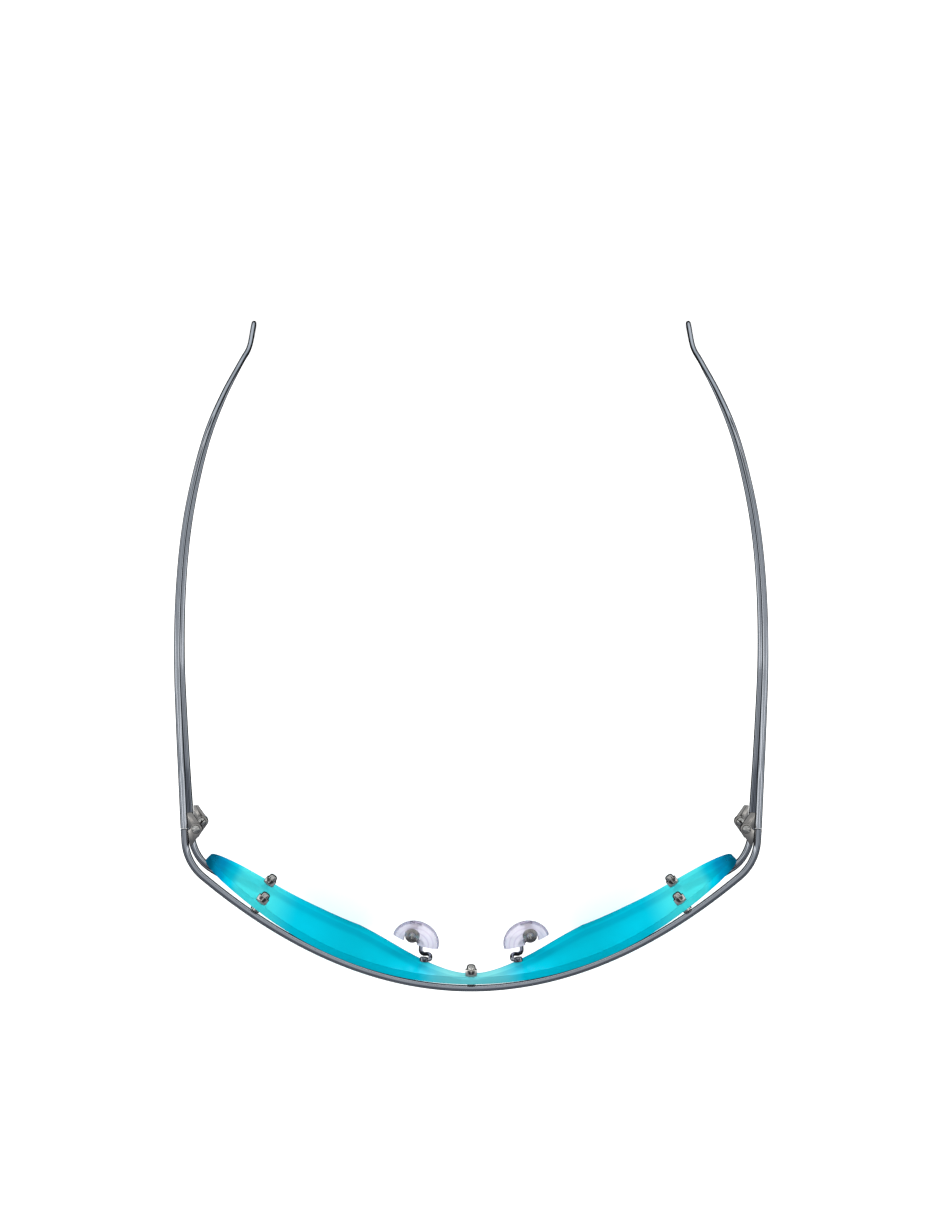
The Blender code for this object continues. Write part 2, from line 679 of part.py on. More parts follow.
def build_arms():
    surface, normal = arm_feet()[0]
    path = arm_path()
    arm = wire_mesh("pad_arm_left", path, [ARM_RADIUS] * len(path), "wire_chrome")
    seat = surface - normal * (LENS_THICKNESS + GAP)
    disc = turned([(ARM_FOOT_RADIUS, ARM_FOOT_HEIGHT), (ARM_FOOT_RADIUS, 0.0)], frame_along(-normal, seat))
    boolean(arm, add_cutter("arm_foot", disc), "UNION")
    hole = cylinder(STUD_RADIUS + HOLE_CLEARANCE, surface, surface - normal * 6 * MM)
    boolean(arm, add_cutter("arm_hole", hole))
    mirrored(arm, "pad_arm_right", "wire_chrome")
    head = [(0.5 * MM, 0.62 * MM), (1.0 * MM, 0.45 * MM), (1.25 * MM, 0.0),
            (STUD_RADIUS, 0.0), (STUD_RADIUS, -LENS_THICKNESS - ARM_FOOT_HEIGHT)]
    screw_mesh = mesh_from(turned([(r, h + GAP) for r, h in head], frame_along(normal, surface)),
                           "arm_screw_left")
    screw = add_object("arm_screw_left", screw_mesh, "fastener_steel", parts)
    mirrored(screw, "arm_screw_right", "fastener_steel")


def build_boxes():
    """Metal boxes on the arms' ends: a drum with a slot that the pad's lug turns in."""
    matrix = pad_frame()
    axis_point = matrix.translation
    up = Vector((0, 0, 1))
    drum = cylinder(BOX_RADIUS, axis_point - up * BOX_HEIGHT / 2, axis_point + up * BOX_HEIGHT / 2, 20)
    box = add_object("pad_box_left", mesh_from(drum, "pad_box_left"), "hinge_steel", parts)
    slot = bmesh.new()
    bmesh.ops.create_cube(slot, size=1.0)
    bmesh.ops.scale(slot, vec=(6 * MM, 4 * MM, LUG_THICKNESS + 2 * GAP), verts=slot.verts)
    bmesh.ops.translate(slot, vec=(0, 0.85 * MM, 0), verts=slot.verts)
    bmesh.ops.transform(slot, matrix=matrix, verts=slot.verts)
    boolean(box, add_cutter("lug_slot", slot))
    reach = up * 3 * MM
    boolean(box, add_cutter("box_hole", cylinder(PAD_PIN_RADIUS + HOLE_CLEARANCE, axis_point - reach,
                                                 axis_point + reach)))
    mirrored(box, "pad_box_right", "hinge_steel")
    seat = BOX_HEIGHT / 2 + GAP
    profile = [(0.4 * MM, seat + 0.6 * MM), (0.8 * MM, seat + 0.42 * MM), (0.95 * MM, seat),
               (PAD_PIN_RADIUS, seat), (PAD_PIN_RADIUS, -seat)]
    screw = add_object("pad_screw_left", mesh_from(turned(profile, matrix), "pad_screw_left"),
                       "fastener_steel", parts)
    mirrored(screw, "pad_screw_right", "fastener_steel")


def lug_outline(grow):
    """Plan of the lug: an eye round the screw and a tongue with a cross bar in the silicone."""
    eye = 0.95 * MM + grow
    neck = 0.7 * MM + grow
    bar = 1.45 * MM + grow
    joint = math.degrees(math.asin(neck / eye))
    round_part = arc((0, 0), eye, 90 + joint, 450 - joint, 14)
    bar_front, bar_back = 2.3 * MM - grow, 2.85 * MM + grow
    return round_part + [(neck, bar_front), (bar, bar_front), (bar, bar_back), (-bar, bar_back),
                         (-bar, bar_front), (-neck, bar_front)]


def build_pads(left_pivot, right_pivot):
    matrix = pad_frame()
    half = LUG_THICKNESS / 2
    lug_body = extruded_outline("pad_lug_left", lug_outline(0.0), -half, half, matrix)
    lug = add_object("pad_lug_left", mesh_from(lug_body, "pad_lug_left"), "hinge_steel", parts)
    reach = Vector((0, 0, 3 * MM))
    boolean(lug, add_cutter("lug_hole", cylinder(PAD_PIN_RADIUS + HOLE_CLEARANCE,
                                                 matrix.translation - reach,
                                                 matrix.translation + reach)))
    bm = bmesh.new()
    bmesh.ops.create_uvsphere(bm, u_segments=20, v_segments=12, radius=1.0)
    bmesh.ops.bisect_plane(bm, geom=bm.verts[:] + bm.edges[:] + bm.faces[:], plane_co=(0, 0, 0),
                           plane_no=(0, -1, 0), clear_outer=True)
    bmesh.ops.holes_fill(bm, edges=[edge for edge in bm.edges if edge.is_boundary], sides=0)
    bmesh.ops.scale(bm, vec=(PAD_HALF_WIDTH, PAD_DEPTH, PAD_HALF_HEIGHT), verts=bm.verts)
    bmesh.ops.translate(bm, vec=(*PAD_OFFSET, 0), verts=bm.verts)
    bmesh.ops.recalc_face_normals(bm, faces=bm.faces)
    bmesh.ops.transform(bm, matrix=matrix, verts=bm.verts)
    pad = add_object("nose_pad_left", mesh_from(bm, "nose_pad_left"), "pad_silicone", parts)
    up = Vector((0, 0, BOX_HEIGHT / 2 + 0.85 * MM))
    well_top = Vector((0, 0, PAD_HALF_HEIGHT + 1 * MM))
    socket = cylinder(BOX_RADIUS + 0.28 * MM, matrix.translation - up, matrix.translation + well_top, 24)
    boolean(pad, add_cutter("pad_socket", socket))
    radial = Vector((math.cos(ARM_ATTACH), math.sin(ARM_ATTACH), 0))
    entry = matrix @ (radial * (BOX_RADIUS + 0.75 * MM))
    notch = cylinder(NOTCH_RADIUS, entry - up, entry + up, 20)
    boolean(pad, add_cutter("pad_notch", notch))
    pocket = extruded_outline("lug_pocket", lug_outline(GAP), -half - GAP, half + GAP, matrix)
    boolean(pad, add_cutter("pad_pocket", pocket))
    for piece in (lug, pad):
        finish = piece.data.materials[0].name
        hang_on(mirrored(piece, piece.name.replace("left", "right"), finish), right_pivot)
        hang_on(piece, left_pivot)


# ---------------------------------------------------------------- assembly

clear_scene()
parts = new_collection("shield_sunglasses")
cutters = new_collection("cutters")

build_lens()
build_brow_wire()
build_lower_wires()
build_studs()

hinge_point = place(HINGE_X, HINGE_SETBACK, UPPER_HINGE_HEIGHT)
temple_pivots = (pivot("temple_left_pivot", hinge_point), pivot("temple_right_pivot", flipped(hinge_point)))
build_hinges(*temple_pivots)
build_temples(*temple_pivots)

build_arms()
build_boxes()
pad_point = pad_frame().translation
build_pads(pivot("pad_left_pivot", pad_point), pivot("pad_right_pivot", flipped(pad_point)))
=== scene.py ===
"""Looks for a pair of wire-framed shield sunglasses: lens, wires, hinges, fasteners, nose pads and studio."""

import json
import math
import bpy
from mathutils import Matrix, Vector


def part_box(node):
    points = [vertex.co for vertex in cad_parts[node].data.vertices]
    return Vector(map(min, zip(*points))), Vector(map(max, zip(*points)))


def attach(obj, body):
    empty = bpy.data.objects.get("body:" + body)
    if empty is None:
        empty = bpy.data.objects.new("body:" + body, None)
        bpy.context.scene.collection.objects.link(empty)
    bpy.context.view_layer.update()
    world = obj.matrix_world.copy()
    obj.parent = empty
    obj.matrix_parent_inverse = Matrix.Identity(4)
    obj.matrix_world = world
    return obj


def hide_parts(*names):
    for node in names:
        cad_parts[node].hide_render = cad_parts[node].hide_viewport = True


bl_info = {
    "name": "Shield Sunglasses",
    "version": (1, 0, 0),
    "blender": (4, 5, 0),
    "location": "3D View > Sidebar > Eyewear",
    "description": "Models a wire-framed shield lens with folding looped temples and clear nose pads",
    "category": "Object",
}

import bmesh
import bpy
from bpy.props import FloatProperty, FloatVectorProperty, IntProperty, PointerProperty
from mathutils import Matrix, Vector

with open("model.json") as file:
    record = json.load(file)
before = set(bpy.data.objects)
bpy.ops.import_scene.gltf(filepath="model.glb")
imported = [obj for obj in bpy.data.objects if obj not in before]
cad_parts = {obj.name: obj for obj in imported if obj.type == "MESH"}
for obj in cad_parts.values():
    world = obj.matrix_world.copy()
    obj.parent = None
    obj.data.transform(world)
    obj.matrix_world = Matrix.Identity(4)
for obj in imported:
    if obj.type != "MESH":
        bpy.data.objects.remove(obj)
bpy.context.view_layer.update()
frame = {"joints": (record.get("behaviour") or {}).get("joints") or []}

MM = 0.001
WHITE = (1.0, 1.0, 1.0)
GAP = 0.06 * MM
BORE_CLEARANCE = 0.05 * MM
CREASE = math.radians(40)

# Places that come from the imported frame
JOINTS = {joint["name"]: Vector(joint["pos_m"]) for joint in frame["joints"]}
FOLD_AXIS = JOINTS["temple_left_fold"]
PAD_AXIS = JOINTS["pad_left_rock"]
BROW_LOW, BROW_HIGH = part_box("brow_wire")
LENS_LOW, LENS_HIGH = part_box("lens")


# ---- properties

def length_property(name, description, millimetres):
    return FloatProperty(name=name, description=description, default=millimetres * MM, unit="LENGTH",
                         precision=5)


def colour_property(name, description, colour):
    return FloatVectorProperty(name=name, description=description, default=colour, subtype="COLOR", size=3)


class WireProperties(bpy.types.PropertyGroup):
    brow_radius: length_property("Brow radius", "Wire radius at the middle of the brow", 0.84)
    hinge_radius: length_property("Hinge radius", "Wire radius at the temple hinges", 0.95)
    tip_radius: length_property("Tip radius", "Wire radius at the temple tips", 0.62)
    arm_radius: length_property("Arm radius", "Wire radius of the nose pad arms", 0.53)
    segments: IntProperty(
        name="Segments", description="Sides of every round wire", default=24, min=8)
    colour: colour_property("Plating", "Colour of the polished plating", (0.60, 0.62, 0.66))


class LensProperties(bpy.types.PropertyGroup):
    radius: length_property("Radius", "Radius of the lens front seen from above", 87.5)
    barrel: length_property("Barrel", "Radius of the lens front seen from the side", 650)
    thickness: length_property("Thickness", "Thickness of the lens", 1.75)
    edge_round: length_property("Edge round", "Width of the polished round on the lens edges", 0.22)
    colour: colour_property("Tint", "Main tint of the lens", (0.0, 0.74, 0.93))
    # The bridge and side glow colours are painted reflections, paler than the lens's own tint.
    bridge_reflection_colour: colour_property("Bridge reflection", "Painted reflection, paler across the bridge", (0.34, 1.0, 1.0))
    glow_colour: colour_property("Side glow", "Pale zone near the lateral ends", (0.10, 0.99, 1.0))
    tip_colour: colour_property("End tint", "Deep tint of the lateral ends", (0.0, 0.17, 0.30))


class PadProperties(bpy.types.PropertyGroup):
    half_width: length_property("Half width", "Half the pad's width along its back", 6.1)
    half_height: length_property("Half height", "Half the pad's height", 6.6)
    depth: length_property("Depth", "Depth of the pad's dome", 5.2)
    turn: FloatProperty(
        name="Turn", description="Turn of the pad's back away from the brow's line",
        default=math.radians(18), subtype="ANGLE")
    colour: colour_property("Silicone", "Faint tint of the clear silicone", (0.80, 0.76, 0.84))


class MetalProperties(bpy.types.PropertyGroup):
    leaf_colour: colour_property("Hinge plate", "Colour of hinge leaves and pad boxes", (0.56, 0.53, 0.49))
    screw_colour: colour_property("Fasteners", "Colour of the screws and cap nuts", (0.80, 0.77, 0.71))
    washer_colour: colour_property("Washers", "Colour of the nylon washers", (0.30, 0.35, 0.35))


class StudioProperties(bpy.types.PropertyGroup):
    floor_colour: colour_property("Floor", "Colour of the floor", (0.93, 0.93, 0.93))
    camera_height: FloatProperty(
        name="Camera height", description="Height of the camera above the brow wire",
        default=0.80, unit="LENGTH")
    camera_tilt: FloatProperty(
        name="Camera tilt", description="Tilt of the camera from straight down, towards the lens",
        default=math.radians(2.19), subtype="ANGLE")
    focal_length: FloatProperty(
        name="Focal length", description="Camera lens in millimetres", default=122.55)


# ---- materials

def new_material(name):
    """A material, with its node tree and its Principled shader."""
    material = bpy.data.materials.new(name)
    material.use_nodes = True
    tree = material.node_tree
    shader = tree.nodes["Principled BSDF"]
    return material, tree, shader


def add_node(tree, kind, **settings):
    node = tree.nodes.new(kind)
    for name, value in settings.items():
        if name in node.inputs:
            node.inputs[name].default_value = value
        else:
            setattr(node, name, value)
    return node


def axes_of(tree, output):
    """X, Y and Z of one kind of texture coordinates."""
    coords = add_node(tree, "ShaderNodeTexCoord")
    axes = add_node(tree, "ShaderNodeSeparateXYZ")
    tree.links.new(coords.outputs[output], axes.inputs["Vector"])
    return axes.outputs


def noise(tree, vector, scale, detail):
    node = add_node(tree, "ShaderNodeTexNoise", Scale=scale, Detail=detail)
    tree.links.new(vector, node.inputs["Vector"])
    return node.outputs["Fac"]


def object_noise(tree, scale, detail=2.0, stretch=(1, 1, 1)):
    """Noise laid on the object's own coordinates."""
    coords = add_node(tree, "ShaderNodeTexCoord")
    mapping = add_node(tree, "ShaderNodeMapping", Scale=stretch)
    tree.links.new(coords.outputs["Object"], mapping.inputs["Vector"])
    return noise(tree, mapping.outputs["Vector"], scale, detail)


def spread(tree, value, low, high, from_low=0.3, from_high=0.7):
    """Map a noise value to a useful range."""
    limits = {"From Min": from_low, "From Max": from_high, "To Min": low, "To Max": high}
    node = add_node(tree, "ShaderNodeMapRange", **limits)
    tree.links.new(value, node.inputs["Value"])
    return node.outputs["Result"]


def ramp(tree, value, stops):
    node = add_node(tree, "ShaderNodeValToRGB")
    node.color_ramp.interpolation = "EASE"
    elements = node.color_ramp.elements
    while len(elements) < len(stops):
        elements.new(0.5)
    for element, (position, colour) in zip(elements, stops):
        element.position = position
        element.color = (*colour, 1.0)
    tree.links.new(value, node.inputs["Fac"])
    return node.outputs["Color"]


def mix_colours(tree, factor, first, second, blend_type="MIX"):
    node = add_node(tree, "ShaderNodeMix", data_type="RGBA", blend_type=blend_type)
    for socket, value in ((node.inputs[0], factor), (node.inputs[6], first), (node.inputs[7], second)):
        if isinstance(value, bpy.types.NodeSocket):
            tree.links.new(value, socket)
        else:
            socket.default_value = value
    return node.outputs[2]


def bump(tree, shader, height, strength, distance):
    node = add_node(tree, "ShaderNodeBump", Strength=strength, Distance=distance)
    tree.links.new(height, node.inputs["Height"])
    tree.links.new(node.outputs["Normal"], shader.inputs["Normal"])


def shade(colour, factor):
    return tuple(channel * factor for channel in colour)


def dress(tree, shader, colour, roughness, constants):
    """Link the colour and the roughness to the shader, and set its plain sockets."""
    tree.links.new(colour, shader.inputs["Base Color"])
    tree.links.new(roughness, shader.inputs["Roughness"])
    set_sockets(shader, constants)


def set_sockets(shader, constants):
    for name, value in constants.items():
        shader.inputs[name].default_value = value


def plated_wire(colour):
    """Polished plating: fine drawing lines along the wire and faint smudges."""
    material, tree, shader = new_material("polished_plating")
    place_on_wire = add_node(tree, "ShaderNodeAttribute", attribute_name="wire_place")
    lines = noise(tree, place_on_wire.outputs["Vector"], 6.0, 3.0)
    smudges = object_noise(tree, 120.0)
    body = ramp(tree, smudges, [(0.3, shade(colour, 0.94)), (0.7, shade(colour, 1.03))])
    tinted = mix_colours(tree, spread(tree, lines, 0.0, 0.16), body, (*shade(colour, 0.6), 1.0))
    dress(tree, shader, tinted, spread(tree, smudges, 0.05, 0.10),
          {"Metallic": 1.0, "Specular Tint": (0.16, 0.17, 0.19, 1.0)})
    bump(tree, shader, lines, 0.04, 0.01 * MM)
    return material


def brushed_plate(colour):
    """Blanked and polished steel for the small plates: soft stains and a fine grain."""
    material, tree, shader = new_material("blanked_steel")
    grain = object_noise(tree, 900.0, stretch=(1, 1, 5))
    stain = object_noise(tree, 320.0)
    body = ramp(tree, stain, [(0.25, shade(colour, 0.80)), (0.75, shade(colour, 1.12))])
    tinted = mix_colours(tree, spread(tree, grain, 0.0, 0.12), body, (0.30, 0.24, 0.19, 1.0))
    dress(tree, shader, tinted, spread(tree, grain, 0.12, 0.18),
          {"Metallic": 1.0, "Specular Tint": (0.30, 0.28, 0.26, 1.0)})
    bump(tree, shader, grain, 0.03, 0.01 * MM)
    return material


def turned_steel(colour):
    """Bright turned steel for screws and cap nuts, faintly mottled."""
    material, tree, shader = new_material("turned_steel")
    grain = object_noise(tree, 900.0)
    patches = object_noise(tree, 400.0)
    body = ramp(tree, patches, [(0.3, shade(colour, 0.85)), (0.7, shade(colour, 1.15))])
    dress(tree, shader, body, spread(tree, grain, 0.08, 0.13),
          {"Metallic": 1.0, "Specular Tint": (0.25, 0.24, 0.22, 1.0)})
    bump(tree, shader, grain, 0.02, 0.01 * MM)
    return material


def tinted_lens(lens):
    """Mirror-coated tint, deep at the ends; painted reflections pale over bridge and sides, banded low down.
    """
    material, tree, shader = new_material("tinted_lens")
    half_width = add_node(tree, "ShaderNodeMath", operation="ABSOLUTE")
    tree.links.new(axes_of(tree, "Object")["X"], half_width.inputs[0])
    across = spread(tree, half_width.outputs["Value"], 0.0, 1.0, 0.0, LENS_HIGH.x)
    main, bridge, glow, tip = lens.colour, lens.bridge_reflection_colour, lens.glow_colour, lens.tip_colour
    # Tint across the lens, deep at the ends, with painted reflections over the bridge and by the sides.
    tint = ramp(tree, across, [
        (0.00, bridge), (0.08, bridge), (0.20, main), (0.45, shade(main, 0.86)), (0.66, main), (0.79, glow),
        (0.87, glow), (0.90, main), (0.94, shade(tip, 2.2)), (0.975, tip)])
    # Painted reflection bands parallel to the lower edge, with a dark painted line at the edge itself.
    above = add_node(tree, "ShaderNodeAttribute", attribute_name="above_edge")
    painted_edge_reflections = ramp(tree, spread(tree, above.outputs["Fac"], 0.0, 1.0, 0.0, 20.0), [
        (0.00, (0.45, 0.55, 0.60)), (0.05, WHITE), (0.32, WHITE),
        (0.42, (0.70, 0.78, 0.82)), (0.62, (0.70, 0.78, 0.82)), (0.95, WHITE)])
    # Painted shade along the lens's top edge, under the brow wire.
    below = add_node(tree, "ShaderNodeAttribute", attribute_name="below_top")
    painted_top_shade = ramp(tree, spread(tree, below.outputs["Fac"], 0.0, 1.0, 0.0, 4.0), [
        (0.00, (0.60, 0.70, 0.72)), (0.07, (0.60, 0.70, 0.72)), (0.14, WHITE)])
    # Painted reflection bands and painted top shade together.
    painted_light_bands = mix_colours(tree, 1.0, painted_edge_reflections, painted_top_shade, "MULTIPLY")
    cloud = object_noise(tree, 60.0, stretch=(1, 1, 0.4))
    # The tint with the painted reflection bands and painted top shade multiplied in.
    banded = mix_colours(tree, 1.0, tint, painted_light_bands, "MULTIPLY")
    final = mix_colours(tree, spread(tree, cloud, 0.0, 0.10), banded, (0.0, 0.42, 0.62, 1.0))
    haze = object_noise(tree, 900.0, 3.0)
    dress(tree, shader, final, spread(tree, haze, 0.05, 0.09),
          {"Metallic": 0.12, "Specular Tint": (0.0, 0.70, 0.95, 1.0), "Specular IOR Level": 0.0, "IOR": 1.05,
           "Transmission Weight": 0.50})
    return material


def clear_silicone(colour):
    """Clear pad silicone: faint lilac tint, painted shade lines for moulded rings round its middle, painted
    rim shade and a trace of dust.
    """
    material, tree, shader = new_material("clear_silicone")
    dust = object_noise(tree, 500.0)
    body = ramp(tree, dust, [(0.35, shade(colour, 0.96)), (0.7, colour)])
    rings = add_node(tree, "ShaderNodeAttribute", attribute_name="from_middle")
    # Painted shade: darker lines at two rings round the middle and a darker band at the rim.
    painted_ring_and_rim_shade = ramp(tree, rings.outputs["Fac"], [
        (0.00, WHITE), (0.50, WHITE), (0.55, (0.80, 0.78, 0.86)), (0.60, WHITE),
        (0.70, WHITE), (0.75, (0.86, 0.84, 0.90)), (0.80, WHITE),
        (0.90, WHITE), (0.95, (0.52, 0.50, 0.60))])
    dress(tree, shader, mix_colours(tree, 1.0, body, painted_ring_and_rim_shade, "MULTIPLY"), spread(tree, dust, 0.02, 0.05),
          {"Transmission Weight": 0.70, "IOR": 1.18, "Specular IOR Level": 0.5})
    return material


def nylon(colour):
    material, tree, shader = new_material("nylon_washer")
    speckle = object_noise(tree, 1500.0)
    body = ramp(tree, speckle, [(0.3, shade(colour, 0.9)), (0.7, colour)])
    dress(tree, shader, body, spread(tree, speckle, 0.35, 0.5), {"Transmission Weight": 0.4})
    return material


def floor_finish(colour):
    material, tree, shader = new_material("studio_floor")
    mottle = object_noise(tree, 3.0)
    body = ramp(tree, mottle, [(0.3, shade(colour, 0.995)), (0.7, colour)])
    tree.links.new(body, shader.inputs["Base Color"])
    set_sockets(shader, {"Roughness": 0.9, "Specular IOR Level": 0.0, "Emission Color": (1.0, 1.0, 1.0, 1.0),
                         "Emission Strength": 0.14})
    return material


def finish(name):
    """The named material, made the first time that it is asked for."""
    scene = bpy.context.scene
    metal = scene.shield_metal
    makers = {
        "polished_plating": (plated_wire, scene.shield_wires.colour),
        "blanked_steel": (brushed_plate, metal.leaf_colour),
        "turned_steel": (turned_steel, metal.screw_colour),
        "tinted_lens": (tinted_lens, scene.shield_lens),
        "clear_silicone": (clear_silicone, scene.shield_pads.colour),
        "nylon_washer": (nylon, metal.washer_colour),
        "studio_floor": (floor_finish, scene.shield_studio.floor_colour),
    }
    maker, setting = makers[name]
    return bpy.data.materials.get(name) or maker(setting)


# ---- mesh helpers

def new_piece(name, bm, material):
    """A smooth-shaded object from a bmesh, at the origin."""
    mesh = bpy.data.meshes.new(name)
    bm.to_mesh(mesh)
    bm.free()
    mesh.materials.append(finish(material))
    mesh.shade_smooth()
    mesh.set_sharp_from_angle(angle=CREASE)
    piece = bpy.data.objects.new(name, mesh)
    bpy.context.scene.collection.objects.link(piece)
    return piece


def settle(piece, node, body):
    """Attach the piece to its body, and hide the CAD node that it stands in for."""
    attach(piece, body)
    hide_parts(node)


def settle_pair(piece, node, body):
    """Settle a left piece, and its mirror image for the right side."""
    bm = bmesh.new()
    bm.from_mesh(piece.data)
    bmesh.ops.scale(bm, vec=(-1, 1, 1), verts=bm.verts)
    bmesh.ops.reverse_faces(bm, faces=bm.faces)
    twin = new_piece(piece.name.replace("left", "right"), bm, piece.data.materials[0].name)
    settle(piece, node, body)
    settle(twin, node.replace("left", "right"), body.replace("left", "right"))


def boolean(piece, cutter_bm, operation="DIFFERENCE"):
    """Cut or join the piece with a bmesh, and keep the result as its mesh."""
    mesh = bpy.data.meshes.new("cutter")
    cutter_bm.to_mesh(mesh)
    cutter_bm.free()
    cutter = bpy.data.objects.new("cutter", mesh)
    bpy.context.scene.collection.objects.link(cutter)
    modifier = piece.modifiers.new("Boolean", "BOOLEAN")
    modifier.operation = operation
    modifier.solver = "EXACT"
    modifier.use_self = operation == "UNION"
    modifier.object = cutter
    depsgraph = bpy.context.evaluated_depsgraph_get()
    result = bpy.data.meshes.new_from_object(piece.evaluated_get(depsgraph))
    if not result.polygons:
        raise RuntimeError(f"nothing is left of {piece.name} after a Boolean")
    piece.modifiers.clear()
    old = piece.data
    piece.data = result
    result.name = piece.name
    result.set_sharp_from_angle(angle=CREASE)
    bpy.data.meshes.remove(old)
    bpy.data.objects.remove(cutter, do_unlink=True)
    bpy.data.meshes.remove(mesh)


def round_edges(bm, width, angle=35, segments=2):
    """Bevel every edge sharper than angle."""
    sharp = [edge for edge in bm.edges if edge.is_manifold and edge.calc_face_angle() > math.radians(angle)]
    bmesh.ops.bevel(bm, geom=sharp, offset=width, offset_type="OFFSET", segments=segments, profile=0.5,
                    affect="EDGES", material=-1, clamp_overlap=True)


def frame_along(direction, origin):
    """Matrix whose +Z runs along direction, with its X kept level."""
    z_axis = direction.normalized()
    x_axis = Vector((0, 0, 1)).cross(z_axis)
    if x_axis.length < 1e-6:
        x_axis = Vector((1, 0, 0))
    x_axis.normalize()
    matrix = Matrix((x_axis, z_axis.cross(x_axis), z_axis)).transposed().to_4x4()
    matrix.translation = origin
    return matrix


def turned(profile, matrix, steps=40):
    """A solid turned about Z from (radius, height) points, top to bottom."""
    bm = bmesh.new()
    top, bottom = profile[0], profile[-1]
    points = [(0.0, top[1])] * (top[0] > 0) + list(profile) + [(0.0, bottom[1])] * (bottom[0] > 0)
    verts = [bm.verts.new((radius, 0, height)) for radius, height in points]
    edges = [bm.edges.new(pair) for pair in zip(verts, verts[1:])]
    bmesh.ops.spin(bm, geom=verts + edges, cent=(0, 0, 0), axis=(0, 0, 1), angle=math.tau, steps=steps,
                   use_merge=True)
    bmesh.ops.remove_doubles(bm, verts=bm.verts, dist=0.002 * MM)
    bmesh.ops.recalc_face_normals(bm, faces=bm.faces)
    bmesh.ops.transform(bm, matrix=matrix, verts=bm.verts)
    return bm


def prism(radius, height, segments):
    """An upright prism about the origin: a nut with few segments, a drum with many."""
    bm = bmesh.new()
    bmesh.ops.create_cone(bm, cap_ends=True, segments=segments, radius1=radius, radius2=radius, depth=height)
    return bm


def cylinder(radius, start, end, segments=32):
    bm = prism(radius, (end - start).length, segments)
    bmesh.ops.transform(bm, matrix=frame_along(end - start, (start + end) / 2), verts=bm.verts)
    return bm


def bore(piece, radius, centre, reach=3 * MM, segments=32):
    """Cut an upright round hole or recess that reaches equally far above and below centre."""
    half = Vector((0, 0, reach))
    boolean(piece, cylinder(radius, centre - half, centre + half, segments))


def block(size, centre, matrix):
    """A box of the given size about centre, in the axes of matrix."""
    bm = bmesh.new()
    bmesh.ops.create_cube(bm, size=1.0)
    bmesh.ops.scale(bm, vec=size, verts=bm.verts)
    bmesh.ops.translate(bm, vec=centre, verts=bm.verts)
    bmesh.ops.transform(bm, matrix=matrix, verts=bm.verts)
    return bm


def disc_profile(radius, height, chamfer):
    """Profile of a disc with broken edges, from its top down."""
    inner = radius - chamfer
    return [(inner, height), (radius, height - chamfer), (radius, chamfer), (inner, 0.0)]


def in_mm(points, base=0.0):
    """Profile points given in millimetres, with heights counted from base."""
    return [(radius * MM, base + height * MM) for radius, height in points]


def plate(outline, low, high, matrix, edge=0.08 * MM):
    """A flat outline raised to a plate between two heights, with its edges broken."""
    bm = bmesh.new()
    face = bm.faces.new([bm.verts.new((x, y, low)) for x, y in outline])
    raised = bmesh.ops.extrude_face_region(bm, geom=[face])["geom"]
    moved = [item for item in raised if isinstance(item, bmesh.types.BMVert)]
    bmesh.ops.translate(bm, vec=(0, 0, high - low), verts=moved)
    bmesh.ops.recalc_face_normals(bm, faces=bm.faces)
    if edge:
        round_edges(bm, edge, 50)
    bmesh.ops.transform(bm, matrix=matrix, verts=bm.verts)
    return bm


def arc(radius, start_deg, end_deg, steps):
    angles = [math.radians(start_deg + (end_deg - start_deg) * i / steps) for i in range(steps + 1)]
    return [(radius * math.cos(a), radius * math.sin(a)) for a in angles]


def smooth_path(knots, spacing):
    """Points along a Catmull-Rom curve through knots, about spacing apart."""
    ends = [knots[0] * 2 - knots[1]] + list(knots) + [knots[-1] * 2 - knots[-2]]
    points = []
    for a, b, c, d in zip(ends, ends[1:], ends[2:], ends[3:]):
        steps = max(2, round((c - b).length / spacing))
        for i in range(steps):
            t = i / steps
            points.append(0.5 * (2 * b + (c - a) * t + (2 * a - 5 * b + 4 * c - d) * t ** 2
                                 + (3 * b - a - 3 * c + d) * t ** 3))
    return points + [knots[-1]]


END_ROUND = 0.04
LINE_LENGTH = 12 * MM


